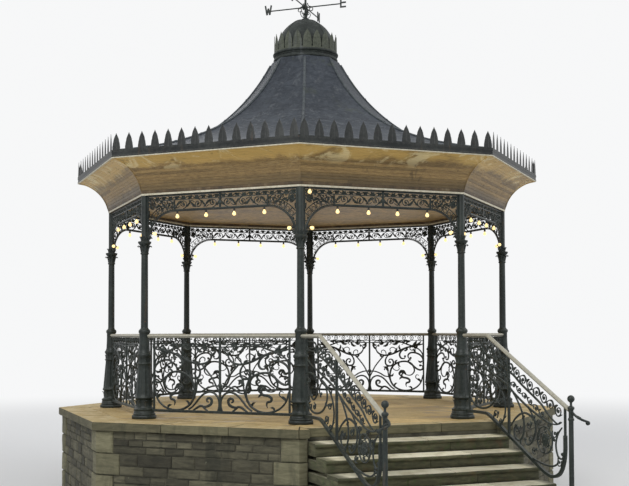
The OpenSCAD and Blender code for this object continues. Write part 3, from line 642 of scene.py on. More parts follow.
# Dull lead with wandering dressing marks, white bloom and washed streaks
def leadSheet(name, dark, light, streaks=0.5):
    f = Finish(name, {"Metallic": 0.1, "Specular IOR Level": 0.3})
    cloud = f.noise(1.5, 5, 0.6, None, 0.4)
    waves = f.noise(5.5, 5, 0.6, (1, 1, 2.4), 1.6)
    fine = f.noise(42, 5, 0.7)
    mottle = f.noise(16, 6, 0.75, None, 0.8)
    colour = f.mix(dark, light, (cloud * 0.35 + waves * 0.3 + mottle * 0.35).between(0.36, 0.64))
    colour = f.stained(colour, (0.13, 0.14, 0.148), streaks, 0.54, 0.7, 9, 6, 0.65, (1, 1, 0.13), 0.3)
    marks = f.noise(2.6, 3, 0.5, (1, 1, 3.2), 1.2)
    line = marks.between(0.485, 0.5) * (1 - marks.between(0.5, 0.515))
    lower = 1 - f.part(f.place, 2).between(5.0, 5.7)
    colour = f.mix(colour, (0.20, 0.215, 0.225), line * lower * 0.55)
    bloom = f.noise(7, 7, 0.75, None, 0.6).between(0.62, 0.72)
    colour = f.mix(colour, (0.19, 0.20, 0.20), bloom * 0.45)
    colour = f.stained(colour, (0.055, 0.065, 0.04), 0.45, 0.6, 0.72, 3.1, 5, 0.6)
    return f.finish(colour, 0.56 + fine * 0.16 + bloom * 0.2, waves * 0.8 + fine * 0.25, 0.012, 0.45)


def lampGlass():
    f = Finish("litLamp")
    colour = f.mix((1.0, 0.66, 0.22), (1.0, 0.80, 0.42), f.noise(60, 2, 0.5))
    f.surface({"Base Color": colour, "Roughness": 0.25, "Emission Color": colour, "Emission Strength": 1.15})
    return f.material


def lampRubber():
    f = Finish("lampRubber")
    fine = f.noise(90, 4, 0.6)
    colour = f.mix((0.012, 0.013, 0.012), (0.045, 0.046, 0.042), fine)
    return f.finish(colour, 0.6 + fine * 0.25, fine, 0.0008, 0.4)


# Each finish with a slot name, which makePiece does not use
finishes = {
    "rubble": ("rubble", sandstone("darkRubble", (0.040, 0.038, 0.024), (0.115, 0.106, 0.066),
                                   (0.022, 0.023, 0.014), 0.7, 1.1)),
    "quoin": ("sandstone", sandstone("quoinStone", (0.105, 0.10, 0.058), (0.215, 0.20, 0.12),
                                     (0.045, 0.046, 0.028), 0.6, 0.5)),
    "coping": ("dressed_stone", sandstone("copingStone", (0.075, 0.07, 0.038), (0.165, 0.15, 0.085),
                                          (0.04, 0.04, 0.022), 0.6, 0.5, (0.50, 0.37, 0.16))),
    "paving": ("paving", pavedStone()),
    "steps": ("step_stone", stepStone()),
    "mortar": ("rubble", mortar()),
    "iron": ("painted_iron", ironPaint("ironPaint", (0.014, 0.019, 0.017), (0.038, 0.048, 0.042),
                                       0.22, True)),
    "column": ("painted_iron", ironPaint("columnPaint", (0.013, 0.018, 0.016), (0.034, 0.043, 0.038), 0.2)),
    "beam": ("pale_paint", palePaint()),
    "cove": ("varnished_timber", varnishedBoards("coveBoards")),
    "ceiling": ("varnished_timber", varnishedBoards("ceilingBoards", False)),
    "gutter": ("dark_iron", ironPaint("gutterPaint", (0.016, 0.018, 0.018), (0.040, 0.043, 0.040), 0.4)),
    "lead": ("lead_sheet", leadSheet("roofLead", (0.022, 0.027, 0.035), (0.066, 0.077, 0.092))),
    "roll": ("lead_sheet", leadSheet("hipLead", (0.045, 0.053, 0.058), (0.115, 0.13, 0.135), 0.6)),
    "cupola": ("lead_sheet", leadSheet("cupolaLead", (0.018, 0.022, 0.020), (0.048, 0.056, 0.050), 0.35)),
    "crown": ("lead_sheet", leadSheet("crownLead", (0.045, 0.052, 0.038), (0.125, 0.135, 0.10))),
    "lamp": ("lit_lamp", lampGlass()),
    "rubber": ("black_rubber", lampRubber()),
}
print("finishes ready:", len(finishes))

# Camera, as the photograph was taken
view = {
    "place": (-5.791, -14.933, 2.328),
    "rise": 1.895,
    "turn": -21.244,
    "lean": -0.126,
    "lens": 61.83,
    "shift": (0.0119, 0.0827),
}
lens = bpy.data.cameras.new("viewCamera")
lens.lens = view["lens"]
lens.sensor_width = 36
lens.shift_x, lens.shift_y = view["shift"]
lens.clip_end = 200
camera = putIn("viewCamera", lens)
aim = Matrix.Translation(view["place"])
for angle, axis in ((view["turn"], "Z"), (90 + view["rise"], "X"), (view["lean"], "Z")):
    aim = aim @ Matrix.Rotation(radians(angle), 4, axis)
camera.matrix_world = aim
bpy.context.scene.camera = camera

# Plain floor and soft studio light
studio = {
    "floor": (0.80, 0.80, 0.79),
    "floorHalf": 90,
    "sky": (0.86, 0.88, 0.92),
    "skyStrength": 0.62,
    "backdrop": (0.93, 0.935, 0.94),
    "lamps": [((-9, -11, 11), 8.0, 950), ((12, -6, 9), 8.0, 420), ((2, 13, 10), 9.0, 380)],
}
half = studio["floorHalf"]
floorMesh = bpy.data.meshes.new("studioFloor")
floorMesh.from_pydata([(x, y, 0) for x, y in rectangle(-half, half, -half, half)], [], [(0, 1, 2, 3)])
floorFinish = Finish("studioFloor", {"Base Color": studio["floor"], "Roughness": 0.9})
away = floorFinish.add("VectorMath", {"operation": "LENGTH"}, {0: floorFinish.place}, "Value")
far = away.between(6, 26) * floorFinish.add("LightPath", output="Is Camera Ray")
plain = floorFinish.add("Emission", {}, {"Color": studio["backdrop"], "Strength": 1.0})
joined = floorFinish.add("MixShader", {}, {0: far, 1: floorFinish.shader, 2: plain})
floorFinish.feed(floorFinish.out.node.inputs["Surface"], joined)
floorMesh.materials.append(floorFinish.material)
floor = putIn("studioFloor", floorMesh)

world = bpy.data.worlds.new("studioSky")
bpy.context.scene.world = world
world.use_nodes = True
sky = Nodes(world.node_tree)
path = sky.add("LightPath", output="Is Camera Ray")
seen = sky.math("MAXIMUM", path, path.output("Is Glossy Ray"))
seen = sky.math("MAXIMUM", seen, path.output("Is Transmission Ray"))
skyLight = sky.add("Background", {}, {"Color": studio["sky"], "Strength": studio["skyStrength"]})
backdrop = sky.add("Background", {}, {"Color": studio["backdrop"], "Strength": 1.0})
shown = sky.add("MixShader", {}, {0: seen, 1: skyLight, 2: backdrop})
sky.add("OutputWorld", {}, {"Surface": shown})
for i, (spot, size, power) in enumerate(studio["lamps"]):
    lamp = bpy.data.lights.new(f"studioLamp{i}", "AREA")
    lamp.shape = "DISK"
    lamp.size = size
    lamp.energy = power
    holder = putIn(f"studioLamp{i}", lamp)
    holder.location = spot
    holder.rotation_mode = "QUATERNION"
    holder.rotation_quaternion = (Vector((0, 0, 3)) - Vector(spot)).to_track_quat("-Z", "Y")
bpy.context.scene.view_settings.view_transform = "Standard"
print("camera and studio ready")

# Plinth: squared stones with rough faces in a lime mortar core
masonry = {
    "joint": 0.011,
    "recess": 0.014,
    "bands": [[0.105, 0.085, 0.090], [0.150, 0.120], [0.095, 0.170], [0.140, 0.140]],
    "shortest": 0.16,
    "longest": 0.52,
    "splitHeight": 0.2,
    "splitLength": 0.42,
    "quoinLong": 0.33,
    "quoinShort": 0.235,
    "quoinProud": 0.010,
    "quoinRough": 0.004,
    "wallRough": 0.009,
    "edge": 0.012,
    "pitch": 0.075,
    "back": -0.035,
    "clear": 0.001,
}
wallSide = 2 * wallFace * tanSide


# The point at a distance s round the wall, s = 0 where sides 7 and 0 meet
def wallPoint(s, out, z):
    s += 1e-7
    k = s // wallSide
    u = s - (k + 0.5) * wallSide
    return bayPoint(k, u * (wallFace + out) / wallFace, wallFace + out, z)


# Where a stone's face is divided: at its edges, evenly between them and at a fixed place
def stoneLines(a, b, fixed=None):
    edge = masonry["edge"]
    within = b - a - 2 * edge
    count = max(1, round(within / masonry["pitch"]))
    made = [a] + [a + edge + within * i / count for i in range(count + 1)] + [b]
    if fixed is not None and a < fixed < b:
        made = sorted([x for x in made if abs(x - fixed) > 0.02] + [fixed])
    return made


def roughStone(shape, s0, s1, z0, z1, proud, rough, shade, corner=None):
    ss, zs = stoneLines(s0, s1, corner), stoneLines(z0, z1)
    m, n = len(ss), len(zs)
    ring = borderOf(m, n)
    verts = []
    for i in range(m * n):
        s, z = ss[i % m], zs[i // m]
        bump = noise(Vector((s * 7, z * 9, shade * 40))) + 0.5 * noise(Vector((s * 19, z * 23, shade * 70)))
        verts.append(wallPoint(s, proud - masonry["edge"] * 0.8 if i in ring else proud + rough * bump, z))
    verts += [wallPoint(ss[i % m], masonry["back"], zs[i // m]) for i in ring]
    back = range(m * n, m * n + len(ring))
    sides = [(a, b, d, c) for (a, b), (c, d) in zip(pairsOf(ring), pairsOf(back))]
    shape.add(verts, gridFaces(m, n) + sides + [back], shade)


core = Shape()
face, back = wallFace - masonry["recess"], wallInside + masonry["clear"]
stairFront = stairEdge - 2 * masonry["clear"]
for k in range(8):
    outline = [(-back * tanSide, back), (back * tanSide, back), (face * tanSide, face)]
    if k == 0:
        # side 0 comes forward to carry the head of the flight
        outline += [(stairHalf, face), (stairHalf, stairFront), (-stairHalf, stairFront), (-stairHalf, face)]
    outline += [(-face * tanSide, face)]
    core.loft([[bayPoint(k, u, a, z) for u, a in outline] for z in (0.0, wallTop)], soft=False)
makePiece("wallCore", core, "mortar")

walls, quoins = Shape(), Shape()
gap = masonry["joint"] / 2
for k in range(8):
    top = wallTop
    for row, courses in enumerate(masonry["bands"]):
        leg, other = masonry["quoinLong"], masonry["quoinShort"]
        if (row + k) % 2:
            leg, other = other, leg
        low = top - sum(courses)
        # the corner stone at the start of side k turns from side k - 1
        first, last = k * wallSide - other, k * wallSide + leg
        besideStairs = (wallSide / 2 - stairHalf) - 0.004
        if k == 0:
            last = besideStairs
        if k == 1:
            first = wallSide - besideStairs
        roughStone(quoins, first + gap, last - gap, low + gap, top - gap, masonry["quoinProud"],
                   masonry["quoinRough"], 0.5 + chance.uniform(-0.4, 0.4), k * wallSide)
        level = top
        for height in courses if k else []:
            s, end = k * wallSide + leg, (k + 1) * wallSide - leg
            while end - s > 0.02:
                length = chance.uniform(masonry["shortest"], masonry["longest"])
                if end - s - length < masonry["shortest"]:
                    length = end - s if end - s < masonry["longest"] * 1.2 else (end - s) / 2
                splits = [height]
                split = height > masonry["splitHeight"] and length < masonry["splitLength"]
                if split and chance.random() < 0.5:
                    share = chance.uniform(0.4, 0.6)
                    splits = [height * share, height * (1 - share)]
                z = level
                for h in splits:
                    roughStone(walls, s + gap, s + length - gap, z - h + gap, z - gap,
                               chance.uniform(-0.006, 0.004), masonry["wallRough"], chance.random())
                    z -= h
                s += length
            level -= height
        top = low
makePiece("wallStones", walls, "rubble", "plinth_walls")
makePiece("cornerStones", quoins, "quoin", "corner_stones")

# Coping: slabs with mitred corners, and the paved deck inside them
paving = {
    "joint": 0.006,
    "row": 0.62,
    "leastRow": 0.3,
    "shortest": 0.55,
    "longest": 1.15,
    "leastEnd": 0.4,
    "slabEnd": 2.0,
    "slabEdge": 0.006,
    "flagEdge": 0.004,
    # where the coping is cut above the flight, and on the other sides give or take the spread
    "frontCuts": (-0.45, 0.5),
    "cuts": (-0.46, 0.47),
    "cutSpread": 0.08,
}
coping = Shape()
gap, slabEnd = paving["joint"] / 2, paving["slabEnd"]
for k in range(8):
    if k == 0:
        cuts = [-stairHalf, *paving["frontCuts"], stairHalf]
        spans = [(a, b, stairEdge - 0.001) for a, b in zip(cuts, cuts[1:])]
        spans += [(-slabEnd, -stairHalf, platformEdge), (stairHalf, slabEnd, platformEdge)]
    else:
        spread = paving["cutSpread"]
        cuts = [-slabEnd, *[cut + chance.uniform(-spread, spread) for cut in paving["cuts"]], slabEnd]
        spans = [(a, b, platformEdge) for a, b in zip(cuts, cuts[1:])]
    for u0, u1, out in spans:
        outline = rectangle(u0 + gap, u1 - gap, deckEdge + gap, out)
        for way in (1, -1):
            outline = trim(outline, way, -tanSide, -gap)
        flat = [bayPoint(k, u, a, 0)[:2] for u, a in outline]
        top = deck - chance.uniform(0, 0.0015)
        block(coping, flat, wallTop + 0.0005, top, paving["slabEdge"], chance.random())
makePiece("copingSlabs", coping, "coping", "coping")

flags = Shape()
y = -deckEdge
while y < deckEdge - 0.05:
    high = min(deckEdge, y + paving["row"] * chance.uniform(0.85, 1.15))
    if deckEdge - high < paving["leastRow"]:
        high = deckEdge
    x = -deckEdge
    while x < deckEdge - 0.01:
        wide = chance.uniform(paving["shortest"], paving["longest"])
        if deckEdge - x - wide < paving["leastEnd"]:
            wide = deckEdge - x
        outline = inOctagon(rectangle(x + gap, x + wide - gap, y + gap, high - gap), deckEdge - gap)
        if len(outline) > 2:
            top = deck - chance.uniform(0, 0.002)
            block(flags, outline, wallTop + 0.001, top, paving["flagEdge"], chance.random())
        x += wide
    y = high
makePiece("deckFlags", flags, "paving", "deck")
bed, bedEdge = Shape(), deckEdge + 0.004
bedLevels = (wallTop + 0.0015, deck - 0.010)
bed.loft([[bayPoint(k, -bedEdge * tanSide, bedEdge, z) for k in range(8)] for z in bedLevels], soft=False)
makePiece("pavingBed", bed, "mortar", slot="paving")
print("plinth ready")

# Flight: riser stones with rounded treads over them, worn in the middle
flight = {
    "risers": 8,
    "going": 0.32,
    "treadThickness": 0.045,
    "treadOut": 0.028,
    "treadBack": 0.318,
    "nosing": mm(-318, 0, -200, 0, -100, 0, -50, 0, -22, -1, -8, -5, -1, -13, 0, -24, -3, -36),
    "wear": 0.006,
    "joint": 0.005,
    "stationPitch": 0.09,
    "crease": 50,
}
rise = deck / flight["risers"]


# The stones between cuts across the flight, less half a joint at each inner cut
def stonesAcross(*cuts):
    cuts = [-stairHalf - flight["joint"] / 2, *cuts, stairHalf + flight["joint"] / 2]
    return [(a + flight["joint"] / 2, b - flight["joint"] / 2) for a, b in zip(cuts, cuts[1:])]


for i in range(1, flight["risers"]):
    step = Shape()
    top = deck - i * rise
    front = stairEdge + i * flight["going"]
    lip = flight["treadThickness"]
    for a, b in stonesAcross(-0.42, 0.46) if i % 2 else stonesAcross(0.03):
        flat = rectangle(a, b, flight["treadOut"] - front, -stairEdge - 0.001)
        block(step, flat, top - rise, top - lip - 0.0005, 0.004, chance.random())
    tread = flight["nosing"] + [(-0.012, -lip), (-flight["treadBack"], -lip)]
    seed = chance.random() * 50

    def worn(u, out, front=front, seed=seed):
        near = max(0.0, 1 - (front - out) / 0.2)
        dip = exp(-(u / 0.5) ** 2) * near * flight["wear"]
        return -dip - 0.0015 * near * (1 + noise(Vector((u * 9, out * 9, seed))))

    for a, b in stonesAcross(0.16) if i % 2 else stonesAcross(-0.5, 0.55):
        slab = Shape()
        stations = max(6, round((b - a) / flight["stationPitch"]))
        runBar(slab, shifted(tread, front, top), a, b, chance.random(), True, worn, stations)
        step.take(slab, lambda u, out, z: (u, -out, z))
    makePiece(f"flightStep{i}", step, "steps", f"step_{i}", crease=flight["crease"])
print("flight ready")

# Columns: turned mouldings, a fluted pedestal and leafy capitals
column = {
    "plateAcross": 0.30,
    "plateHeight": 0.045,
    "sides": 48,
    "flutes": (0.29, 0.69, 12, 0.085),
    "leaves": 8,
    "leafThick": 0.006,
    "leafRings": [
        # width, how far it is turned on, then the line, in thousandths
        (36, 0, 46, 2150, 51, 2180, 59, 2210, 74, 2232, 90, 2230, 94, 2216),
        (34, 390, 44, 2295, 50, 2325, 62, 2352, 70, 2350),
        (62, 0, 104, 160, 106, 190, 112, 220, 126, 238, 130, 230),
        (46, 0, 79, 725, 81, 750, 87, 775, 94, 778),
    ],
    "profile": mm(
        20, 45, 139, 45, 142.5, 50, 142.5, 64, 139, 70, 135, 73, 135, 90, 131, 96, 131, 104, 135, 110, 135,
        124, 130, 130, 119, 135, 109, 145, 104, 156, 103, 175, 103, 235, 106, 248, 114, 256, 122, 262,
        124.5, 270, 122, 278, 117, 284, 116, 295, 113, 330, 105, 420, 97, 510, 88, 610, 81.5, 680, 82, 692,
        88, 697, 92, 703, 92, 711, 88, 717, 81, 722, 79, 732, 79, 760, 80, 788, 86, 797, 93, 806, 94.5,
        818, 93, 830, 85, 838, 79, 846, 77, 858, 71, 872, 70, 900, 67, 960, 65, 1021, 65, 1094, 70, 1102,
        75, 1110, 76, 1122, 75, 1135, 68, 1144, 56, 1156, 49, 1166, 47, 1180, 46.5, 1300, 46, 1500, 45,
        1800, 43.5, 2100, 43, 2118, 50, 2124, 54.5, 2130, 54.5, 2138, 50, 2144, 45, 2150, 45, 2180, 50,
        2212, 60, 2238, 74, 2256, 80, 2264, 84, 2270, 86, 2277, 86, 2286, 82, 2290, 56, 2294, 46, 2302, 43,
        2320, 43, 2860, 43, 2885, 20, 2885,
    ),
}


# A curled leaf that stands round a stem: its line is (r, z) and it faces the angle in eighths
def standingLeaf(shape, line, width, eighths):
    across = (-1, -0.5, 0, 0.5, 1)
    verts = []
    for face in (1, -1):
        for p, side, t in alongLine(smoothLine(line)):
            w = width / 2 * max(0.06, sin(pi * min(1, 0.22 + 0.78 * t) ** 0.9) ** 0.7)
            w *= 0.8 + 0.2 * abs(cos(3 * pi * t))
            for x in across:
                fold = 0.0025 if x == 0 else -0.22 * w * abs(x)
                q = p - side * (face * column["leafThick"] / 2 * (1 - 0.6 * x * x) + fold)
                verts.append(bayPoint(eighths, q[0], -x * w, q[1]))
    shape.sheet(verts, len(across), 0.6)


post = Shape()
lathe(post, column["profile"], column["sides"], flutes=column["flutes"])
reach = column["plateAcross"] / 2 / cosSide
block(post, [polar(reach, 45 * (j + 0.5)) for j in range(8)], 0.0, column["plateHeight"], 0.005)
for j in range(column["leaves"]):
    facing = 8 * (j + 0.5) / column["leaves"]
    for width, onward, *line in column["leafRings"]:
        standingLeaf(post, mm(*line), width / 1000, facing + onward / 1000 / turn)
for k in range(8):
    placed = post.moved(lambda x, y, z: bayPoint(k - 0.5, x, plan["columnCircle"] - y, deck + z))
    makePiece(f"castColumn{k + 1}", placed, "column", f"column_{k + 1}")
print("columns ready")

# Railing panels: the right half is drawn and mirrored; points are (u, height above the deck)
railing = {
    "top": 1.087,
    "topWidth": 0.056,
    "topHeight": 0.046,
    "bottom": 0.092,
    "bottomHeight": 0.034,
    "neck": 0.065,
    "foot": 0.135,
    "thick": 0.022,
    "leafThick": 0.024,
    "bossThick": 0.030,
    "line": 0.962,
    "beads": 14,
    # the small rings: half their width, half their height and how far below the handrail they hang
    "ring": (0.030, 0.033, 0.036),
    "panelHalf": 0.9598,
    # the shade that marks handrails for the painted highlight in their finish
    "litHandrail": 1.0,
    "scrolls": [
        # width, how much of it is left at each end, swelling, then the line, in thousandths
        (30, 450, 700, 100, 610, 420, 660, 385, 745, 385, 800, 455, 765, 555, 680, 605, 570, 605, 465,
         565, 400, 500, 368, 400, 375, 290, 440, 190, 560, 130, 690, 125, 820, 170, 910, 260, 948, 380),
        (27, 800, 500, 200, 680, 605, 765, 550, 840, 490, 905, 468, 945, 490, 940, 540, 900, 550),
        (26, 800, 500, 250, 952, 560, 948, 660, 900, 720, 820, 755, 735, 755, 690, 715, 700, 665, 740, 660),
        (26, 800, 500, 250, 700, 850, 610, 815, 555, 765, 540, 710, 570, 662, 625, 660, 640, 690),
        (28, 800, 500, 200, 950, 905, 900, 890, 773, 866, 660, 840, 560, 800, 440, 745, 330, 715, 250,
         712, 170, 740, 120, 800, 125, 855, 160, 880),
        (22, 600, 800, 200, 400, 965, 490, 950, 580, 930, 680, 895, 773, 866, 870, 820, 930, 760, 950, 700),
        (20, 800, 500, 100, 20, 925, 200, 930, 380, 935, 550, 930, 660, 910),
        (24, 700, 550, 250, 360, 728, 310, 680, 285, 620, 295, 560, 340, 530, 400, 540, 430, 585, 410,
         635, 365, 645, 345, 610, 365, 585),
        (22, 1000, 1000, 0, 260, 705, 180, 620, 100, 520, 50, 430, 12, 360),
        (22, 900, 900, 100, 10, 440, 100, 435, 190, 405, 270, 360, 340, 350),
        (20, 800, 800, 100, 270, 475, 285, 515, 320, 500, 330, 440, 345, 360, 375, 270),
        (26, 900, 1000, 100, 30, 122, 12, 190, 20, 270, 65, 335, 135, 362, 210, 345, 275, 300, 330, 240,
         385, 180, 450, 135),
        (28, 700, 700, 200, 175, 122, 215, 150, 255, 182, 300, 175, 350, 145, 385, 124),
        (30, 700, 600, 350, 255, 182, 215, 175, 165, 185, 125, 215, 118, 260, 150, 285, 185, 270, 182,
         240, 158, 235),
        (30, 800, 250, 300, 600, 420, 575, 375, 600, 340, 665, 330, 715, 300, 705, 262, 660, 250, 650,
         215, 662, 180),
        (14, 800, 600, 200, 80, 930, 120, 955, 170, 950, 190, 915, 165, 895),
        (14, 800, 600, 200, 280, 935, 320, 958, 370, 950, 390, 912, 360, 890),
        (14, 800, 600, 200, 500, 935, 540, 957, 590, 948, 605, 908, 575, 888),
        (13, 800, 600, 200, 300, 715, 290, 770, 250, 800, 215, 780, 220, 745),
        (13, 800, 600, 200, 500, 775, 460, 830, 400, 845, 365, 810, 385, 775),
        (13, 800, 600, 200, 840, 835, 800, 800, 745, 800, 720, 830, 745, 850),
        (13, 800, 600, 200, 410, 515, 440, 470, 500, 455, 535, 485, 515, 515),
        (13, 800, 600, 200, 920, 270, 870, 300, 820, 345, 840, 390, 880, 375),
    ],
    "leaves": [
        # width, lobes, then the line
        (58, 4, 650, 395, 590, 445, 535, 410, 565, 350), (36, 3, 600, 345, 560, 335, 530, 300),
        (44, 3, 50, 930, 90, 885, 140, 885), (42, 3, 440, 940, 400, 965, 350, 962),
        (42, 3, 240, 930, 200, 965, 150, 965), (42, 3, 660, 905, 680, 940, 740, 945),
        (40, 3, 680, 845, 660, 800, 610, 785), (40, 3, 860, 880, 830, 845, 780, 830),
        (38, 3, 330, 715, 360, 750, 410, 760), (38, 3, 190, 735, 210, 690, 255, 675),
        (38, 3, 530, 595, 520, 545, 560, 515), (36, 3, 940, 620, 900, 600, 860, 630),
        (36, 3, 760, 140, 740, 180, 690, 185), (36, 3, 370, 360, 410, 370, 430, 410),
        (50, 3, 340, 440, 300, 500, 245, 515), (42, 3, 300, 490, 330, 530, 360, 545),
        (46, 3, 340, 925, 300, 875, 240, 865), (46, 3, 260, 925, 210, 900, 170, 905),
        (46, 3, 520, 930, 460, 900, 400, 905), (50, 3, 773, 866, 820, 920, 850, 965),
        (46, 3, 773, 866, 870, 900, 930, 965), (42, 3, 600, 925, 640, 955, 700, 962),
        (40, 3, 440, 745, 480, 800, 500, 850), (38, 3, 560, 800, 530, 850, 545, 890),
        (40, 3, 820, 755, 800, 800, 760, 815), (36, 3, 680, 605, 720, 640, 745, 625),
        (38, 3, 120, 810, 80, 850, 45, 890), (40, 3, 460, 565, 470, 610, 505, 635),
        (36, 3, 440, 185, 460, 230, 500, 245), (36, 3, 910, 260, 885, 310, 840, 325),
    ],
    "bosses": [
        # u, z, radius
        (900, 545, 20), (735, 668, 20), (635, 695, 20), (163, 872, 20), (368, 592, 19), (773, 866, 26),
        (270, 470, 14), (610, 420, 20),
    ],
}


# Scrolls from a table such as the one above
def scrolls(shape, table, thick):
    for width, first, last, swell, *line in table:
        strap(shape, mm(*line), width / 1000, thick, (first / 1000, last / 1000), swell / 1000)


def railPanel():
    half = Shape()
    thick = railing["thick"]
    scrolls(half, railing["scrolls"], thick)
    leaves(half, railing["leaves"], railing["leafThick"])
    for u, z, r in railing["bosses"]:
        boss(half, u / 1000, z / 1000, r / 1000, railing["bossThick"])
    edge, line = railing["panelHalf"], railing["line"]
    foot, under = railing["bottom"], railing["top"] - railing["topHeight"]
    bar(half, (edge, foot), (edge, under + 0.004), thick, thick)
    # the row of small rings under the handrail
    pitch = 2 * edge / railing["beads"]
    wide, high, below = railing["ring"]
    ring = [(wide * c, under - below + high * s) for c, s in circle(0, 0, 1, 10)]
    for i in range(railing["beads"] // 2):
        u = (i + 0.5) * pitch
        strap(half, shifted(ring, u, 0), 0.011, 0.018, closed=True, sides=5, gap=0.03)
        boss(half, u, under - below, 0.013, 0.022, 6)
        boss(half, u + pitch / 2, under - 0.016, 0.011, 0.02, 6)
    bar(half, (0, line), (edge, line), 0.010, 0.014)
    panel = mirrored(half)
    bar(panel, (0, foot), (0, under + 0.004), 0.024, 0.024)
    boss(panel, 0, 0.44, 0.034, 0.034)
    boss(panel, 0, 0.36, 0.024, 0.03)
    return panel


# The handrail's section stands on the height low
def handrailSection(low):
    left = mm(-550, 0, -620, 220, -950, 340, -1000, 520, -900, 720, -550, 930)
    outline = left + [(0, 1)] + [(-x, y) for x, y in left[::-1]]
    return [(x * railing["topWidth"] / 2, low + y * railing["topHeight"]) for x, y in outline]


panel = railPanel()
reach = bayHalf - railing["neck"] + 0.004
handrail = handrailSection(railing["top"] - railing["topHeight"])
runBar(panel, handrail, -reach, reach, railing["litHandrail"], True)
reach = bayHalf - railing["foot"] + 0.003
low, high = railing["bottom"], railing["bottom"] + railing["bottomHeight"]
bottomRail = shifted(mm(-17, 3, -14, 0, 14, 0, 17, 3), 0, low)
bottomRail += shifted(mm(17, -6, 10, 0, -10, 0, -17, -6), 0, high)
runBar(panel, bottomRail, -reach, reach)
for k in range(1, 8):
    makePiece(f"railPanel{k}", panel.moved(onColumnLine(k)), "iron", f"railing_{k}")
print("railings ready, faces in a panel:", len(panel.faces))

# Stair rails, in a side view: u is the distance out from the axis, z the height above the deck
stairRail = {
    "thick": 0.022,
    "start": 2.745,
    "bend": 3.319,
    "end": 5.023,
    "slope": 0.46875,
    "slimBar": 4.940,
    "standard": 3.799,
    "headBar": 2.875,
    "bottom": 0.109,
    "bottomWidth": 0.034,
    "bottomRail": mm(
        2815, 109, 3050, 109, 3250, 109, 3319, 100, 3450, 48, 3760, -98, 4070, -243, 4380, -388, 4550,
        -462, 4700, -494, 4830, -450, 4905, -340, 4937, -200, 4940, -20,
    ),
    "scrolls": [
        (25, 700, 700, 200, 2830, 990, 2950, 1000, 3160, 978, 3230, 860, 3470, 780, 3770, 653, 3910, 597,
         4080, 496, 4460, 305, 4600, 199, 4780, 98, 4870, 116),
        (25, 700, 600, 200, 2900, 793, 3050, 719, 3350, 626, 3730, 492, 3950, 369, 4210, 242, 4420, 162,
         4620, 97, 4780, 87, 4850, 120),
        (22, 800, 500, 200, 2840, 620, 2980, 630, 3130, 600, 3220, 500, 3200, 380, 3100, 320, 3010, 370,
         3020, 450, 3090, 470),
        (24, 700, 500, 200, 2840, 450, 2900, 280, 3050, 180, 3250, 170, 3420, 230, 3520, 360, 3470, 500,
         3350, 520, 3280, 440, 3330, 360),
        (22, 800, 600, 100, 3130, 600, 3350, 560, 3550, 470, 3680, 340, 3720, 180, 3660, 40, 3540, 0,
         3450, 60, 3480, 140),
        (24, 700, 500, 200, 3860, 420, 3990, 300, 4100, 140, 4120, -40, 4040, -150, 3940, -130, 3910, -30,
         3980, 20),
        (24, 700, 500, 200, 3840, 0, 3950, 100, 4120, 170, 4300, 130, 4430, 20, 4420, -100),
        (22, 700, 600, 100, 4210, 242, 4330, 120, 4360, -20, 4280, -160, 4180, -190, 4130, -120),
        (22, 700, 600, 100, 4880, 60, 4800, -20, 4760, -140, 4800, -260, 4880, -280, 4900, -210),
        (22, 700, 600, 100, 4300, -330, 4420, -360, 4560, -380, 4700, -380, 4790, -340, 4800, -270),
    ],
    "stems": [
        # height, pitch, then the line
        (50, 150, 2900, 900, 3160, 900),
        (66, 155, 3200, 925, 3340, 905, 3600, 795, 4000, 610, 4400, 425, 4880, 200),
        (38, 130, 3120, 790, 3340, 715, 3600, 622, 3930, 475, 4220, 325, 4550, 155),
    ],
    "bosses": [
        (3.04, 0.36), (3.34, 0.4), (3.48, 0.1), (3.97, -0.01), (4.15, -0.13), (4.42, -0.1), (4.88, -0.23),
    ],
    "leaves": [
        # width, lobes, then the line
        (48, 3, 3220, 460, 3280, 510), (48, 3, 3460, 300, 3530, 270), (48, 3, 3620, 400, 3670, 460),
        (48, 3, 4080, 100, 4140, 140), (48, 3, 4300, 100, 4360, 150), (48, 3, 3680, 100, 3740, 100),
        (48, 3, 2920, 300, 2970, 360), (48, 3, 3020, 200, 3040, 270), (48, 3, 4040, -140, 4040, -200),
        (48, 3, 4740, -100, 4690, -50), (48, 3, 4400, 50, 4450, 100),
    ],
    "curls": [
        # u, z, radius, start in degrees, way round
        (3500, 115, 55, -60, 1), (3620, 35, 45, -60, -1), (3980, -20, 55, 120, 1), (4220, 40, 55, 60, -1),
        (4250, -130, 50, -90, 1), (4330, -240, 45, -60, -1), (4740, -20, 50, 140, 1),
        (4820, -330, 45, 20, -1), (4620, 60, 40, 200, 1), (4420, 75, 45, 0, 1), (3120, 240, 45, 90, -1),
        (2930, 520, 50, 0, 1), (3400, 620, 40, 0, 1), (3240, 660, 35, 90, -1), (3600, 280, 50, 160, 1),
    ],
    "rosette": (4.545, -0.105),
    # radii about the rosette: outer ring, eyes of the curls, inner ring and petals
    "rosetteRadii": (0.150, 0.112, 0.085, 0.075),
    # a curl's width and depth, then the depth of the boss in its eye
    "curlBar": (0.013, 0.018, 0.026),
}


def drop(u):
    return max(0.0, u - stairRail["bend"]) * stairRail["slope"]


def stepTop(u):
    return deck - rise * ceil((u - stairEdge) / flight["going"])


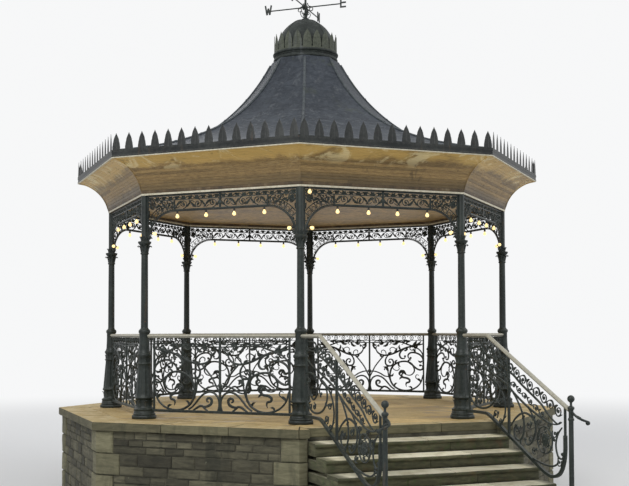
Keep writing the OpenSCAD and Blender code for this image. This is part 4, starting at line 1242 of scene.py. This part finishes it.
# A wandering stem with a curl and a leaf in each of its bends
def runningScroll(shape, line, high, pitch):
    wide, thick, eye = stairRail["curlBar"]
    pts = smoothLine(line, 0.012)
    run = [0.0]
    for p, q in zip(pts, pts[1:]):
        run.append(run[-1] + dist(q, p))
    count = max(1, round(run[-1] / pitch))
    pitch = run[-1] / count

    # The point a distance d along the line and off to its left
    def at(d, off):
        i = min(range(len(run)), key=lambda j: abs(run[j] - d))
        way = (pts[min(len(pts) - 1, i + 1)] - pts[max(0, i - 1)]).normalized()
        return (pts[i][0] - way.y * off, pts[i][1] + way.x * off)

    stem = [at(run[-1] * j / (count * 6), high * 0.8 * sin(pi * j / 6)) for j in range(count * 6 + 1)]
    strap(shape, stem, 0.014, thick, sides=5)
    for i in range(count):
        side = 1 if i % 2 == 0 else -1
        u, z = at((i + 0.5) * pitch, -high * 0.12 * side)
        turns = (high * 0.80, high * 0.2, 90 * side, -430 * side, 13)
        curl(shape, u, z, turns, wide, high * 0.27, 0.6, thick, eye, 6, 0.018)
        if i < count - 1:
            places = ((0.95, 0.15), (1.1, 0.6), (1.25, 0.95))
            leaf(shape, [at((i + d) * pitch, high * off * side) for d, off in places], high * 0.62, 3, 0.024)


def stairPanel():
    made = Shape()
    thick, bend = stairRail["thick"], stairRail["bend"]
    top = railing["top"] - railing["topHeight"]
    # handrail: level, then down the rake
    stations = [stairRail["start"], bend - 0.03, bend, bend + 0.03, stairRail["end"]]
    rows = [[(u, out, z - drop(u)) for out, z in handrailSection(top)] for u in stations]
    made.loft(rows, railing["litHandrail"])
    # bottom rail: level at the deck, down the rake, then curling up the slim bar
    wide = stairRail["bottomWidth"]
    strap(made, stairRail["bottomRail"], wide, wide, sides=4, gap=0.04)
    scrolls(made, stairRail["scrolls"], thick)
    for high, pitch, *line in stairRail["stems"]:
        runningScroll(made, mm(*line), high / 1000, pitch / 1000)
    for u, z in stairRail["bosses"]:
        boss(made, u, z, 0.020, railing["bossThick"])
    leaves(made, stairRail["leaves"], railing["leafThick"])
    width, depth, eye = stairRail["curlBar"]
    for u, z, r, start, way in stairRail["curls"]:
        u, z, r = u / 1000, z / 1000, r / 1000
        curl(made, u, z, (r, r * 0.22, start, 420 * way, 13), width, r * 0.28, 0.6, depth, eye, 6)
        leaf(made, [(u + r * 0.9, z), (u + r * 1.25, z + r * 0.7)], 0.036, 3, 0.022)
    # rosette above the foot of the rake
    u, z = stairRail["rosette"]
    outer, eyes, inner, petals = stairRail["rosetteRadii"]
    strap(made, circle(u, z, outer, 22), 0.018, thick, closed=True)
    rosette(made, u, z, petals, 8)
    for j in range(6):
        eye = polar(eyes, 60 * j + 20, u, z)
        strap(made, spiral(*eye, 0.030, 0.008, 60 * j, 380, 9), 0.011, 0.017, (1.0, 0.6), sides=5)
    strap(made, circle(u, z, inner), 0.010, 0.016, closed=True, sides=5)
    # upright bars
    foot, low, slim = stairRail["standard"], stairRail["bottom"], stairRail["slimBar"]
    head, under = stairRail["headBar"], top + 0.004
    bar(made, (head, 0.1), (head, under), thick, thick)
    bar(made, (foot, low - drop(foot)), (foot, under - drop(foot)), 0.026, 0.026)
    boss(made, foot, low - drop(foot), 0.026, 0.044)
    boss(made, foot, 0.33, 0.024, 0.034)
    bar(made, (slim, -0.25), (slim, under - drop(slim)), thick, thick)
    return made


panelSide = stairPanel()
for name, way in (("left", -1), ("right", 1)):
    makePiece(f"{name}StairRail", panelSide.moved(besideFlight(way)), "iron", f"stair_rail_{name}")

newel = {
    "out": 5.0502,
    "width": 0.054,
    "ball": 0.080,
    "collar": 0.070,
    "sides": 28,
    # mouldings: out from the shaft's face, then up from its foot or down from its head
    "foot": mm(34, 0, 36, 4, 36, 14, 30, 20, 18, 26, 12, 34, 10, 60, 8, 70, 2, 80, 0, 90),
    "head": mm(-1, -200, 6, -192, 8, -182, 6, -172, -1, -164, -1, -82, 6, -74, 10, -66, 10, -52, 4, -44),
    # the neck under the ball: part of the shaft's radius, then the height from its head
    "neck": mm(680, -38, 500, -28, 500, -2, 620, 2),
    "endWidth": 0.028,
    "endLow": 0.023,
    "end": mm(0, 0, 0, 40, 1, 85, 20, 134, 70, 155, 100, 155, 135, 155),
    "endLeaf": [(46, 3, 10, 90, 45, 110, 80, 100)],
    "knob": 0.025,
    "tilt": 32,
    "tiltAxis": (0.82, 0.57, 0.0),
}
newelFoot = stepTop(newel["out"])
newelTop = deck + railing["top"] - drop(newel["out"]) + newel["collar"]
tall = newelTop - newelFoot
w = newel["width"] / 2
newelProfile = [(0.01, 0.0), *shifted(newel["foot"], w, 0), (w, tall * 0.5)]
newelProfile += shifted(newel["head"], w, tall) + [(w * part, tall + z) for part, z in newel["neck"]]
ball = newel["ball"] / 2
for i in range(1, 14):
    out, up = polar(ball, -70 + 160 * i / 13)
    newelProfile.append((max(out, 0.003), tall + ball + up))
# the rail's dropped end turns outward in a tilted plane; its line is (outward, forward)
droppedEnd, knob = Shape(), Shape()
strap(droppedEnd, newel["end"], newel["endWidth"], newel["endWidth"], (1.0, 0.85), sides=10, gap=0.012)
leaves(droppedEnd, newel["endLeaf"], railing["leafThick"])
knobProfile = [polar(newel["knob"], angle) for angle in range(-88, 89, 16)]
lathe(knob, [(max(out, 0.001), up) for out, up in knobProfile], 16)
droppedEnd.take(knob, lambda x, y, z: (0.149 + x, z - 0.012, 0.155 + y))
tilted = Matrix.Rotation(radians(newel["tilt"]), 3, Vector(newel["tiltAxis"]))
endHeight = deck + railing["top"] - newel["endLow"] - drop(newel["out"])


def fromNewel(way):
    def move(side, up, ahead):
        p = tilted @ Vector((side, -ahead, up))
        return (way * (bayHalf + p.x), p.y - newel["out"], endHeight + p.z)
    return move


for name, way in (("left", -1), ("right", 1)):
    made = Shape()
    lathe(made, newelProfile, newel["sides"], (way * bayHalf, -newel["out"], newelFoot))
    made.take(droppedEnd, fromNewel(way))
    makePiece(f"{name}Newel", made, "column", f"newel_{name}")
print("stair rails ready, faces in one:", len(panelSide.faces))

# Friezes: running scrolls between two bars, a leafy band above, and fan-filled quarter arches
frieze = {
    "foot": 2.670,
    "top": 2.8847,
    "bar": 0.020,
    "archRadius": 0.400,
    "units": 10,
    "sprays": 11,
    "reach": 1.0665,
    "band": 2.812,
    "leafThick": 0.022,
    "smallLeafThick": 0.020,
    # width and depth of the upright bars and of the slim bars
    "post": (0.016, 0.018),
    "slim": (0.011, 0.016),
    # outward from the arch's middle: the last running scroll, and the rosette with its drop
    "lastScroll": 0.17,
    "rosette": (0.33, 0.052),
    "rosetteRadius": 0.044,
    # how far the second arc lies outside the arch
    "secondArc": 0.092,
    # leaves: width, lobes, then the line from the middle of a spray, a scroll and the arch's foot
    "bandLeaf": [(36, 3, -35, 14, 0, -4, 28, -22)],
    "bandLeaves": [(30, 2, 4, 0, 34, 16), (26, 2, -12, 4, -20, -22)],
    "scrollLeaves": [(40, 3, 30, -40, 75, -12, 105, 30), (34, 3, -40, 36, -72, 12, -90, -22)],
    "scrollBud": [(22, 2, -5, -30, 12, -8)],
    "tendrils": [(9, 15, -85, -50, -105, -20, -88, 4, -68, -8), (10, 16, 51.3, 20, 90, 44, 125, 30, 118, 8)],
    "archLeaf": [(40, 3, -10, 20, -50, 50, -75, 30)],
    "spandrelLeaves": [(36, 3, -120, 430, -170, 455, -215, 450), (32, 3, -30, 400, -22, 360, -30, 325)],
    "fan": range(16, 87, 10),
    "branches": [
        # u in from the end, z above the arch's foot, radius, start, sweep
        (85, 430, 46, 200, -420), (180, 415, 40, 20, 400), (75, 525, 42, 180, 420),
        (155, 510, 44, -60, -420), (250, 495, 38, 140, -400), (60, 215, 30, 90, 380),
    ],
}
archU = frieze["reach"] - frieze["archRadius"]
archZ = frieze["foot"] + frieze["bar"] - frieze["archRadius"]


def friezePanel():
    half = Shape()
    reach, foot, band, thick = frieze["reach"], frieze["foot"], frieze["band"], frieze["bar"]
    low, top = foot + thick, frieze["top"] - thick
    leafThick, smallThick = frieze["leafThick"], frieze["smallLeafThick"]
    # leafy band
    bar(half, (0, band), (reach, band), *frieze["slim"])
    count, mid = frieze["sprays"], (band + top) / 2
    wave = [(reach * i / (count * 4), mid + 0.016 * sin(pi * i / 4)) for i in range(count * 4 + 1)]
    strap(half, wave, 0.010, 0.015, gap=0.03, sides=5)
    for i in range(count):
        u = reach * (i + 0.5) / count
        way = 1 if i % 2 == 0 else -1
        leaves(half, frieze["bandLeaf"], leafThick, u, mid, way)
        leaves(half, frieze["bandLeaves"], smallThick, u, mid, way)
        boss(half, u + 0.045, mid + 0.004 * way, 0.009, 0.02, 5)
    # running scrolls under it
    mid, r = (low + band) / 2, (band - low) / 2 - 0.004
    pitch = 2 * reach / frieze["units"]
    for i in range(frieze["units"] // 2):
        u = (i + 0.5) * pitch
        if u > archU + frieze["lastScroll"]:
            continue
        way = 1 if i % 2 else -1
        curl(half, u, mid, (r, 0.014, 90 * way, way * 500, 16), 0.012, 0.014, 0.7, 0.018, 0.026)
        leaves(half, frieze["scrollLeaves"], leafThick, u, mid, way)
        leaves(half, frieze["scrollBud"], smallThick, u, mid, way)
        for width, depth, *line in frieze["tendrils"]:
            strap(half, shifted(mm(*line), u, mid, way), width / 1000, depth / 1000, (1.0, 0.6), sides=5)
        boss(half, u + 0.105, mid + 0.03 * way, 0.012, 0.022, 6)
    bar(half, (archU, low), (archU, band), *frieze["post"])
    # outer end: the spandrel above the arch
    u, z, r = archU + frieze["rosette"][0], band - frieze["rosette"][1], frieze["rosetteRadius"]
    rosette(half, u, z, r, 6)
    strap(half, circle(u, z, r + 0.006, 14), 0.010, 0.016, closed=True, sides=5)
    bar(half, (reach - 0.008, archZ + 0.3), (reach - 0.008, top), *frieze["post"])
    made = mirrored(half)
    # bars
    runBar(made, rectangle(-0.011, 0.011, top, frieze["top"]), -reach, reach)
    footBar = shifted(mm(-11, 0, 11, 0, 13, 10, 11, 20, -11, 20, -13, 10), 0, foot)
    runBar(made, footBar, -archU - 0.01, archU + 0.01)
    bar(made, (0, foot), (0, frieze["top"]), 0.022, 0.022)
    boss(made, 0, mid, 0.034, 0.034)
    return made


def archPair():
    half = Shape()
    reach, r = frieze["reach"], frieze["archRadius"] - frieze["bar"] / 2
    second, leafThick = r + frieze["secondArc"], frieze["leafThick"]
    strap(half, spiral(archU, archZ, r, r, 0, 90, 14), frieze["bar"], 0.022, gap=0.05)
    strap(half, spiral(archU, archZ, second, second, 39, 51, 12), 0.012, 0.018, gap=0.05, sides=5)
    bar(half, (reach - 0.008, archZ), (reach - 0.008, archZ + 0.31), *frieze["post"])
    # fan between the two arcs
    for angle in frieze["fan"]:
        far = min(second - 0.004, (reach - 0.016 - archU) / max(cos(radians(angle)), 0.01))
        if far - r > 0.03:
            bar(half, polar(r + 0.006, angle, archU, archZ), polar(far, angle, archU, archZ), 0.009, 0.014)
        u, z = polar(r + 0.040, angle + 5, archU, archZ)
        if u < reach - 0.035:
            strap(half, circle(u, z, 0.024, 9), 0.008, 0.013, closed=True, sides=5, gap=0.03)
    # curl and leaf at the springing
    hook = shifted(mm(-30, 160, -56, 120, -50, 70, -26, 50, -18, 75), reach, archZ)
    strap(half, hook, *frieze["slim"], (1.0, 0.6), sides=5)
    leaves(half, frieze["archLeaf"], leafThick, reach, archZ)
    # branches that fill the corner between the arch and the frieze
    for inward, up, r, start, sweep in frieze["branches"]:
        u, z, r = reach - inward / 1000, archZ + up / 1000, r / 1000
        curl(half, u, z, (r, 0.009, start, sweep, 12), 0.010, 0.010)
        leaf(half, [(u - r * 0.9, z), (u - r * 1.5, z + 0.015)], 0.026, 2, 0.02)
    # scroll above the arch's crown
    curl(half, reach - 0.075, archZ + 0.445, (0.052, 0.012, 200, -420, 12), 0.011, 0.012)
    leaves(half, frieze["spandrelLeaves"], leafThick, reach, archZ)
    return mirrored(half)


friezeShape, archShape = friezePanel(), archPair()
arches = Shape()
for k in range(8):
    makePiece(f"friezePanel{k + 1}", friezeShape.moved(onColumnLine(k)), "iron", f"frieze_{k + 1}")
    arches.take(archShape, onColumnLine(k))
makePiece("friezeArches", arches, "iron", "frieze_arches")
print("friezes ready, faces in one:", len(friezeShape.faces), "arches:", len(arches.faces))

# Beam, ceiling, cove and eaves
eaves = {
    "beamHeight": 0.060,
    "beamWidth": 0.110,
    "coveRise": 0.390,
    "coveBow": 0.084,
    "out": 0.420,
    "boards": 15,
    "boardThickness": 0.024,
    "boardEdge": 0.006,
    "boardGap": 0.0006,
    "ceilingBoard": 0.115,
    "ceilingEdge": 0.004,
    "stripWidth": 0.020,
    "stripHeight": 0.009,
    "bead": (3.1455, 4.5335, 0.010, 8),
    "gutterWidth": 0.110,
    "gutterHeight": 0.080,
    "gutterMetal": 0.008,
}
beamTop = beamLow + eaves["beamHeight"]
beamOut = columnLine + eaves["beamWidth"] / 2
beamIn = columnLine - eaves["beamWidth"] / 2
beam = Shape()
beamFace = shifted(mm(-12, 0, -8, 12, -8, 30, -2, 36, 0, 44), beamOut, beamLow)
roundSides(beam, [(beamIn, beamLow), *beamFace, (beamOut, beamTop), (beamIn, beamTop)])
makePiece("ringBeam", beam, "beam", "ring_beam")

ceiling = Shape()
thick, gap = eaves["boardThickness"], eaves["boardGap"]
edge = beamOut - 1.1 * thick
y = -edge
while y < edge - 0.005:
    high = min(edge, y + eaves["ceilingBoard"])
    cuts = [-edge, chance.uniform(-1.6, -0.4), chance.uniform(0.4, 1.6), edge]
    for a, b in zip(cuts, cuts[1:]):
        outline = inOctagon(rectangle(a + gap, b - gap, y + gap, high - gap), edge)
        if len(outline) > 2:
            block(ceiling, outline, beamTop + seat, beamTop + thick, eaves["ceilingEdge"], chance.random())
    y = high
makePiece("ceilingBoards", ceiling, "ceiling", "ceiling")

# The cove is an arc from the beam's upper edge to the gutter's foot
coveOut = eaves["out"] - eaves["gutterMetal"] - seat
chord = hypot(coveOut, eaves["coveRise"])
bowRadius = ((chord / 2) ** 2 + eaves["coveBow"] ** 2) / (2 * eaves["coveBow"])
halfBow = asin(chord / 2 / bowRadius)
tilt = atan2(eaves["coveRise"], coveOut)
bowA = beamOut + coveOut / 2 + (bowRadius - eaves["coveBow"]) * sin(tilt)
bowZ = beamTop + eaves["coveRise"] / 2 - (bowRadius - eaves["coveBow"]) * cos(tilt)


# A point of the arc, t from 0 at its foot to 1 at its head, a distance r behind it
def covePoint(t, r=0.0):
    a = tilt + pi / 2 + halfBow * (1 - 2 * t)
    return (bowA + (bowRadius + r) * cos(a), bowZ + (bowRadius + r) * sin(a))


cove = Shape()
d, back = eaves["boardEdge"], thick - 0.001
for k in range(8):
    for j in range(eaves["boards"]):
        t0, t1 = j / eaves["boards"], (j + 1) / eaves["boards"]
        places = [(t0, 0.004), (t0 + d, gap), ((t0 + t1) / 2, 0.0), (t1 - d, gap), (t1, 0.004)]
        section = [covePoint(*place) for place in places + [(t1, back), (t0, back)]]
        joint = chance.uniform(-0.8, 0.8)
        # two boards to a course, each from (part of the half side, more) to the same
        for ends in (((-1, 0), (joint, 0)), ((joint, gap), (1, 0))):
            rows = []
            for part, more in ends:
                rows.append([bayPoint(k, part * p * tanSide + more, p, z) for p, z in section])
            cove.loft(rows, chance.random(), soft=False)
makePiece("coveBoards", cove, "cove", "cove")


# A tube that follows a line of (r, z) up corner k of the octagon
def cornerTube(shape, line, width, height, k, sides=8):
    made = Shape()
    strap(made, line, height, width, sides=sides, gap=0.06)
    shape.take(made, lambda r, out, z: bayPoint(k - 0.5, out, r, z))


strips, bead = Shape(), Shape()
stripLine = [(a / cosSide, z) for a, z in [covePoint(i / 9, -0.001) for i in range(10)]]
for k in range(8):
    cornerTube(strips, stripLine, eaves["stripWidth"], eaves["stripHeight"], k)
makePiece("hipStrips", strips, "cove")
roundSides(bead, circle(*eaves["bead"]), True)
makePiece("eavesBead", bead, "beam")

roofShape = {
    "rise": 1.71,
    "neck": 0.5,
    "sweep": 0.8,
    "thick": 0.042,
    "across": 22,
    "up": 34,
    "ripple": 0.0055,
    "rimWidth": 0.12,
    "rollWidth": 0.036,
    "rollHeight": 0.0288,
    "clipMore": 0.007,
    "clipLength": 0.022,
    "crease": 30,
}
gutterOut = beamOut + eaves["out"]
gutterIn = gutterOut - eaves["gutterWidth"]
gutterLow = beamTop + eaves["coveRise"]
gutterTop = gutterLow + eaves["gutterHeight"]
metal = eaves["gutterMetal"]
sole = gutterLow + thick + seat
neckZ = gutterTop + roofShape["rise"]
neckR, sweep = roofShape["neck"], roofShape["sweep"]
roofEdge = (gutterIn + metal + 0.030) / cosSide
sweepK = roofShape["rise"] / (1 / (neckR + sweep) - 1 / (gutterOut / cosSide + sweep))


# The roof's height at the corner radius r
def roofAt(r):
    return neckZ + sweepK * (1 / (r + sweep) - 1 / (neckR + sweep))


# The radius a part t of the way from the neck to the eaves
def roofRadius(t):
    return neckR + (roofEdge - neckR) * t ** 1.35


gutter = Shape()
inTop = roofAt((gutterIn + metal) / cosSide) - roofShape["thick"] - 0.0005
outside, inside = gutterOut - metal, gutterIn + metal
gutterSection = [(outside, gutterLow)]
gutterSection += shifted(mm(-2, 0, 0, 3, 0, 16, -5, 22), gutterOut, gutterLow)
gutterSection += shifted(mm(-5, -30, 0, -22, 0, -3, -3, 0), gutterOut, gutterTop)
gutterSection += [(outside, gutterTop), (outside, sole + metal), (inside, sole + metal), (inside, inTop)]
gutterSection += [(gutterIn, inTop), (gutterIn, sole), (outside, sole)]
roundSides(gutter, gutterSection)
makePiece("eavesGutter", gutter, "gutter", "gutter")

# Cresting: pointed leaves in relief along every side
cresting = {
    "leaves": 14,
    "height": 0.2153,
    "width": 0.120,
    "strip": 0.014,
    "thick": 0.0118,
    "end": 0.062,
    "sink": 0.004,
    # outline: part of the height, part of the width, in thousandths
    "outline": mm(
        0, 500, 60, 475, 130, 485, 200, 490, 280, 470, 350, 440, 410, 435, 500, 385, 570, 345, 620, 340,
        700, 285, 770, 230, 830, 170, 890, 105, 950, 45, 1000, 6,
    ),
}


# A leaf standing on z = 0 at u = 0, ribbed in front and behind
def reliefLeaf(shape, place, outline, width, height, thick):
    left = mm(-1000, 100, -720, 550, -360, 850, -100, 450)
    ribs = left + [(0, 1.0)] + [(-x, h) for x, h in left[::-1]]
    verts = []
    for face in (1, -1):
        for t, w in outline:
            for x, h in ribs:
                out = face * h * thick / 2 * (1 - 0.5 * t)
                verts.append(place(x * w * width, out, (t - 0.06 * abs(x) * (1 - t)) * height))
    shape.sheet(verts, len(ribs), chance.random())


crest = Shape()
t, h = cresting["thick"] / 2, cresting["strip"]
crestA = gutterOut - t
crestHalf = (crestA - t) * tanSide
pitch = 2 * (crestHalf - cresting["end"]) / (cresting["leaves"] - 1)
right = [(t * 0.8, 0), (t, 0.004), (t * 0.7, h * 0.6), (t * 0.9, h)]
for k in range(8):
    strip = Shape()
    runBar(strip, right + [(-x, z) for x, z in right[::-1]], -crestHalf, crestHalf)
    for i in range(cresting["leaves"]):
        u = cresting["end"] + i * pitch - crestHalf
        reliefLeaf(strip, lambda x, out, z: (u + x, out, h - cresting["sink"] + z), cresting["outline"],
                   cresting["width"], cresting["height"], cresting["thick"])
    crest.take(strip, lambda u, out, z: bayPoint(k, u, crestA + out, gutterTop + seat + z))
makePiece("eavesCresting", crest, "gutter", "cresting")
print("eaves ready, cresting faces:", len(crest.faces))

# Roof: dressed lead over a hollow sweep
lead = Shape()
rows, across = roofShape["up"], roofShape["across"]
for k in range(8):
    verts = []
    for face in range(2):
        for i in range(rows + 1):
            r = roofRadius(i / rows)
            for j in range(across + 1):
                x = 2 * j / across - 1
                u = x * r * cosSide * tanSide
                lift = -roofShape["thick"]
                if face == 0:
                    calm = (1 - x ** 8) * min(1, i / 2) * min(1, (rows - i) / 2)
                    p = Vector((u * 2.2 + 17 * k, i * 0.42, 3.1 * k))
                    lift = roofShape["ripple"] * calm * (noise(p) + 0.6 * noise(p * 2.3))
                verts.append(bayPoint(k, u, r * cosSide, roofAt(r) + lift))
    lead.sheet(verts, across + 1, 0.5)
neck = neckR * cosSide
roundSides(lead, rectangle(neck - roofShape["rimWidth"] * cosSide, neck, neckZ - roofShape["thick"], neckZ))
makePiece("leadRoof", lead, "lead", "roof", crease=roofShape["crease"])

# Rolls on the hips, with a wider clip every so often
rolls = Shape()
hipLine = [(r, roofAt(r) + 0.006) for r in [roofRadius((i + 0.45) / 15.45) for i in range(16)]]
wide, high, more = roofShape["rollWidth"], roofShape["rollHeight"], roofShape["clipMore"]
for k in range(8):
    cornerTube(rolls, hipLine, wide, high, k, 10)
    for (r, z), (r2, z2) in zip(hipLine[1::2], hipLine[2::2]):
        d = Vector((r2 - r, z2 - z)).normalized() * roofShape["clipLength"]
        cornerTube(rolls, [(r, z), (r + d[0], z + d[1])], wide + more, high + more, k, 10)
makePiece("hipRolls", rolls, "roll", "hip_rolls")
print("roof ready")

# Cupola: moulded ring, ring of upright leaves, ribbed dome
cupola = {
    "ringHeight": 0.118,
    "ringRadius": 0.486,
    "sides": 64,
    "domeRadius": 0.430,
    "domeHeight": 0.525,
    "domeMetal": 0.02,
    "leaves": 20,
    "leafHeight": 0.280,
    "leafIn": 0.024,
    "leafShare": 0.92,
    "leafFoot": 0.0166,
    "rib": (0.020, 0.018),
    "bandHeight": 0.022,
    "leafThick": 0.015,
    # the ring's mouldings, back from its radius
    "ring": mm(-100, 0, -24, 0, -14, 4, -8, 12, -6, 22, -9, 32, -18, 38, -26, 43, -27, 55, -24, 60,
               -16, 64, -14, 68, -17, 74, -25, 78, -20, 83, -6, 88, 0, 96, 0, 110),
    # outline of a leaf: part of the height, part of the width, in thousandths
    "outline": mm(
        0, 500, 70, 460, 140, 475, 210, 500, 280, 500, 350, 470, 410, 475, 500, 445, 570, 400, 620, 400,
        700, 350, 770, 285, 830, 215, 890, 130, 950, 50, 1000, 6,
    ),
}
h, r = cupola["ringHeight"], cupola["ringRadius"]
ring = Shape()
profile = shifted(cupola["ring"], r, 0) + [(r - 0.005, h), (r - 0.10, h)]
lathe(ring, profile, cupola["sides"], (0, 0, neckZ + seat))
makePiece("cupolaRing", ring, "cupola", "cupola_ring")

ringTop = neckZ + h
upright = Shape()
leafR = r - cupola["leafIn"]
leafWidth = 2 * pi * leafR / cupola["leaves"] * cupola["leafShare"]
leafHeight = cupola["leafHeight"] - cupola["bandHeight"]
leafFoot = ringTop + cupola["leafFoot"]
band = shifted(mm(-7, 0, 7, 0, 8, 6, 6, 22, -6, 22, -7, 0), leafR, 0)
lathe(upright, band, cupola["sides"], (0, 0, ringTop + 2 * seat))
for i in range(cupola["leaves"]):
    # bent round the ring
    def bent(x, out, z):
        return bayPoint(8 * i / cupola["leaves"], x, leafR + out - x ** 2 / leafR / 2, leafFoot + z)

    reliefLeaf(upright, bent, cupola["outline"], leafWidth, leafHeight, cupola["leafThick"])
makePiece("cupolaLeaves", upright, "crown", "cupola_leaves")


# A point of the dome's outline, an angle in degrees up from its foot and a distance inside it
def domePoint(angle, inside=0.0):
    out, up = polar(1, angle)
    return ((cupola["domeRadius"] - inside) * out, (cupola["domeHeight"] - inside) * up ** 0.9)


dome = Shape()
inside = cupola["domeMetal"]
profile = [domePoint(angle) for angle in range(0, 88, 4)]
profile += [(0.012, cupola["domeHeight"]), (0.012, cupola["domeHeight"] - inside)]
profile += [domePoint(angle, inside) for angle in [*range(86, 2, -6), 0]]
lathe(dome, profile, cupola["sides"], (0, 0, ringTop + 2 * seat))
rib = shifted([domePoint(angle) for angle in range(6, 86, 8)], 0.001, ringTop)
for k in range(8):
    cornerTube(dome, rib, *cupola["rib"], k, 6)
makePiece("cupolaDome", dome, "cupola", "dome")

# Spindle with scrolls; the compass arms and the pointer keep their own shapes
vane = {
    "armsUp": 0.195,
    "pointerUp": 0.525,
    "stem": 0.016,
    "turn": -131,
    "scrolls": 4,
    "foot": mm(10, 0, 64, 0, 66, 6, 60, 14, 40, 22, 30, 32, 24, 50, 22, 68, 28, 78, 35, 86,
               36, 92, 33, 99, 24, 106, 19, 114, 17, 128),
    "scroll": mm(20, 30, 60, 50, 82, 90, 66, 122, 42, 116, 40, 96, 54, 92),
}
domeTop = ringTop + cupola["domeHeight"]
spindle, scroll = Shape(), Shape()
stem, tip = vane["stem"], vane["pointerUp"]
profile = vane["foot"] + [(stem, vane["armsUp"] - 0.030), (stem, tip - 0.002), (0.012, tip)]
lathe(spindle, profile, 24, (0, 0, domeTop + 3 * seat))
strap(scroll, vane["scroll"], 0.011, 0.011, (1.0, 0.6))
boss(scroll, 0.052, 0.096, 0.010, 0.016, 6)
for i in range(vane["scrolls"]):
    spindle.take(scroll, lambda x, out, z: bayPoint(vane["turn"] / 45 + 1 + 2 * i, x, -out, domeTop + z))
makePiece("vaneSpindle", spindle, "column", "spindle", slot="dark_iron")
print("cupola ready")

# Lamps on their cable: two on the frieze's foot and one on the arch in each half bay
lights = {
    "inner": 0.200,
    "outer": 0.620,
    "angle": 18,
    "cable": 0.010,
    "gap": 0.0006,
    "headIn": 0.105,
    "headOut": 0.040,
    "bulb": mm(3, 36, 10.5, 36.2, 11, 40, 13, 46, 18, 54, 22.5, 62,
               24, 69, 23, 77, 18.5, 85, 11, 90.5, 2, 92),
    "holder": mm(3, 5.3, 11, 5.3, 13.5, 9, 14, 14, 14, 30, 12.5, 36, 3, 36.5),
}
cableR = frieze["archRadius"] - frieze["bar"] - lights["cable"] / 2 - lights["gap"]
bulb, holder, bulbs, holders = Shape(), Shape(), Shape(), Shape()
lathe(bulb, lights["bulb"], 16)
lathe(holder, lights["holder"], 12)


def hangLamp(move):
    bulbs.take(bulb, move)
    holders.take(holder, move)


for k in range(8):
    for way in (-1, 1):
        # place on the cable's line, then the direction in which the lamp points
        spots = [(way * u, cableR, 0, -1) for u in (lights["inner"], lights["outer"])]
        u, z = polar(cableR, lights["angle"])
        spots.append((way * (archU + u), z, *polar(1, way * (90 + lights["angle"]) + 90)))
        for u, z, du, dz in spots:
            hangLamp(lambda x, y, h: bayPoint(
                k, u + x * dz + h * du, columnLine + y, deck + archZ + z - x * du + h * dz))
# one more hangs from the ring beam at the head of column 1
headX, headY = lights["headIn"] - bayHalf, -columnLine - lights["headOut"]
hangLamp(lambda x, y, h: (headX + x, headY + y, beamLow + lights["cable"] / 2 - h))
makePiece("lampBulbs", bulbs, "lamp", "lamps")
makePiece("lampSockets", holders, "rubber", "lamp_holders")

# Nodes whose own shapes stay get their finish here
kept = {
    "plinth_fill": "rubble",
    "lamp_cable": "rubber",
    "compass_arms": "column",
    "pointer": "column",
}
for name, finish in kept.items():
    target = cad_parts[name]
    target.data.materials.clear()
    target.data.materials.append(finishes[finish][1])
print("lamps and kept nodes ready")
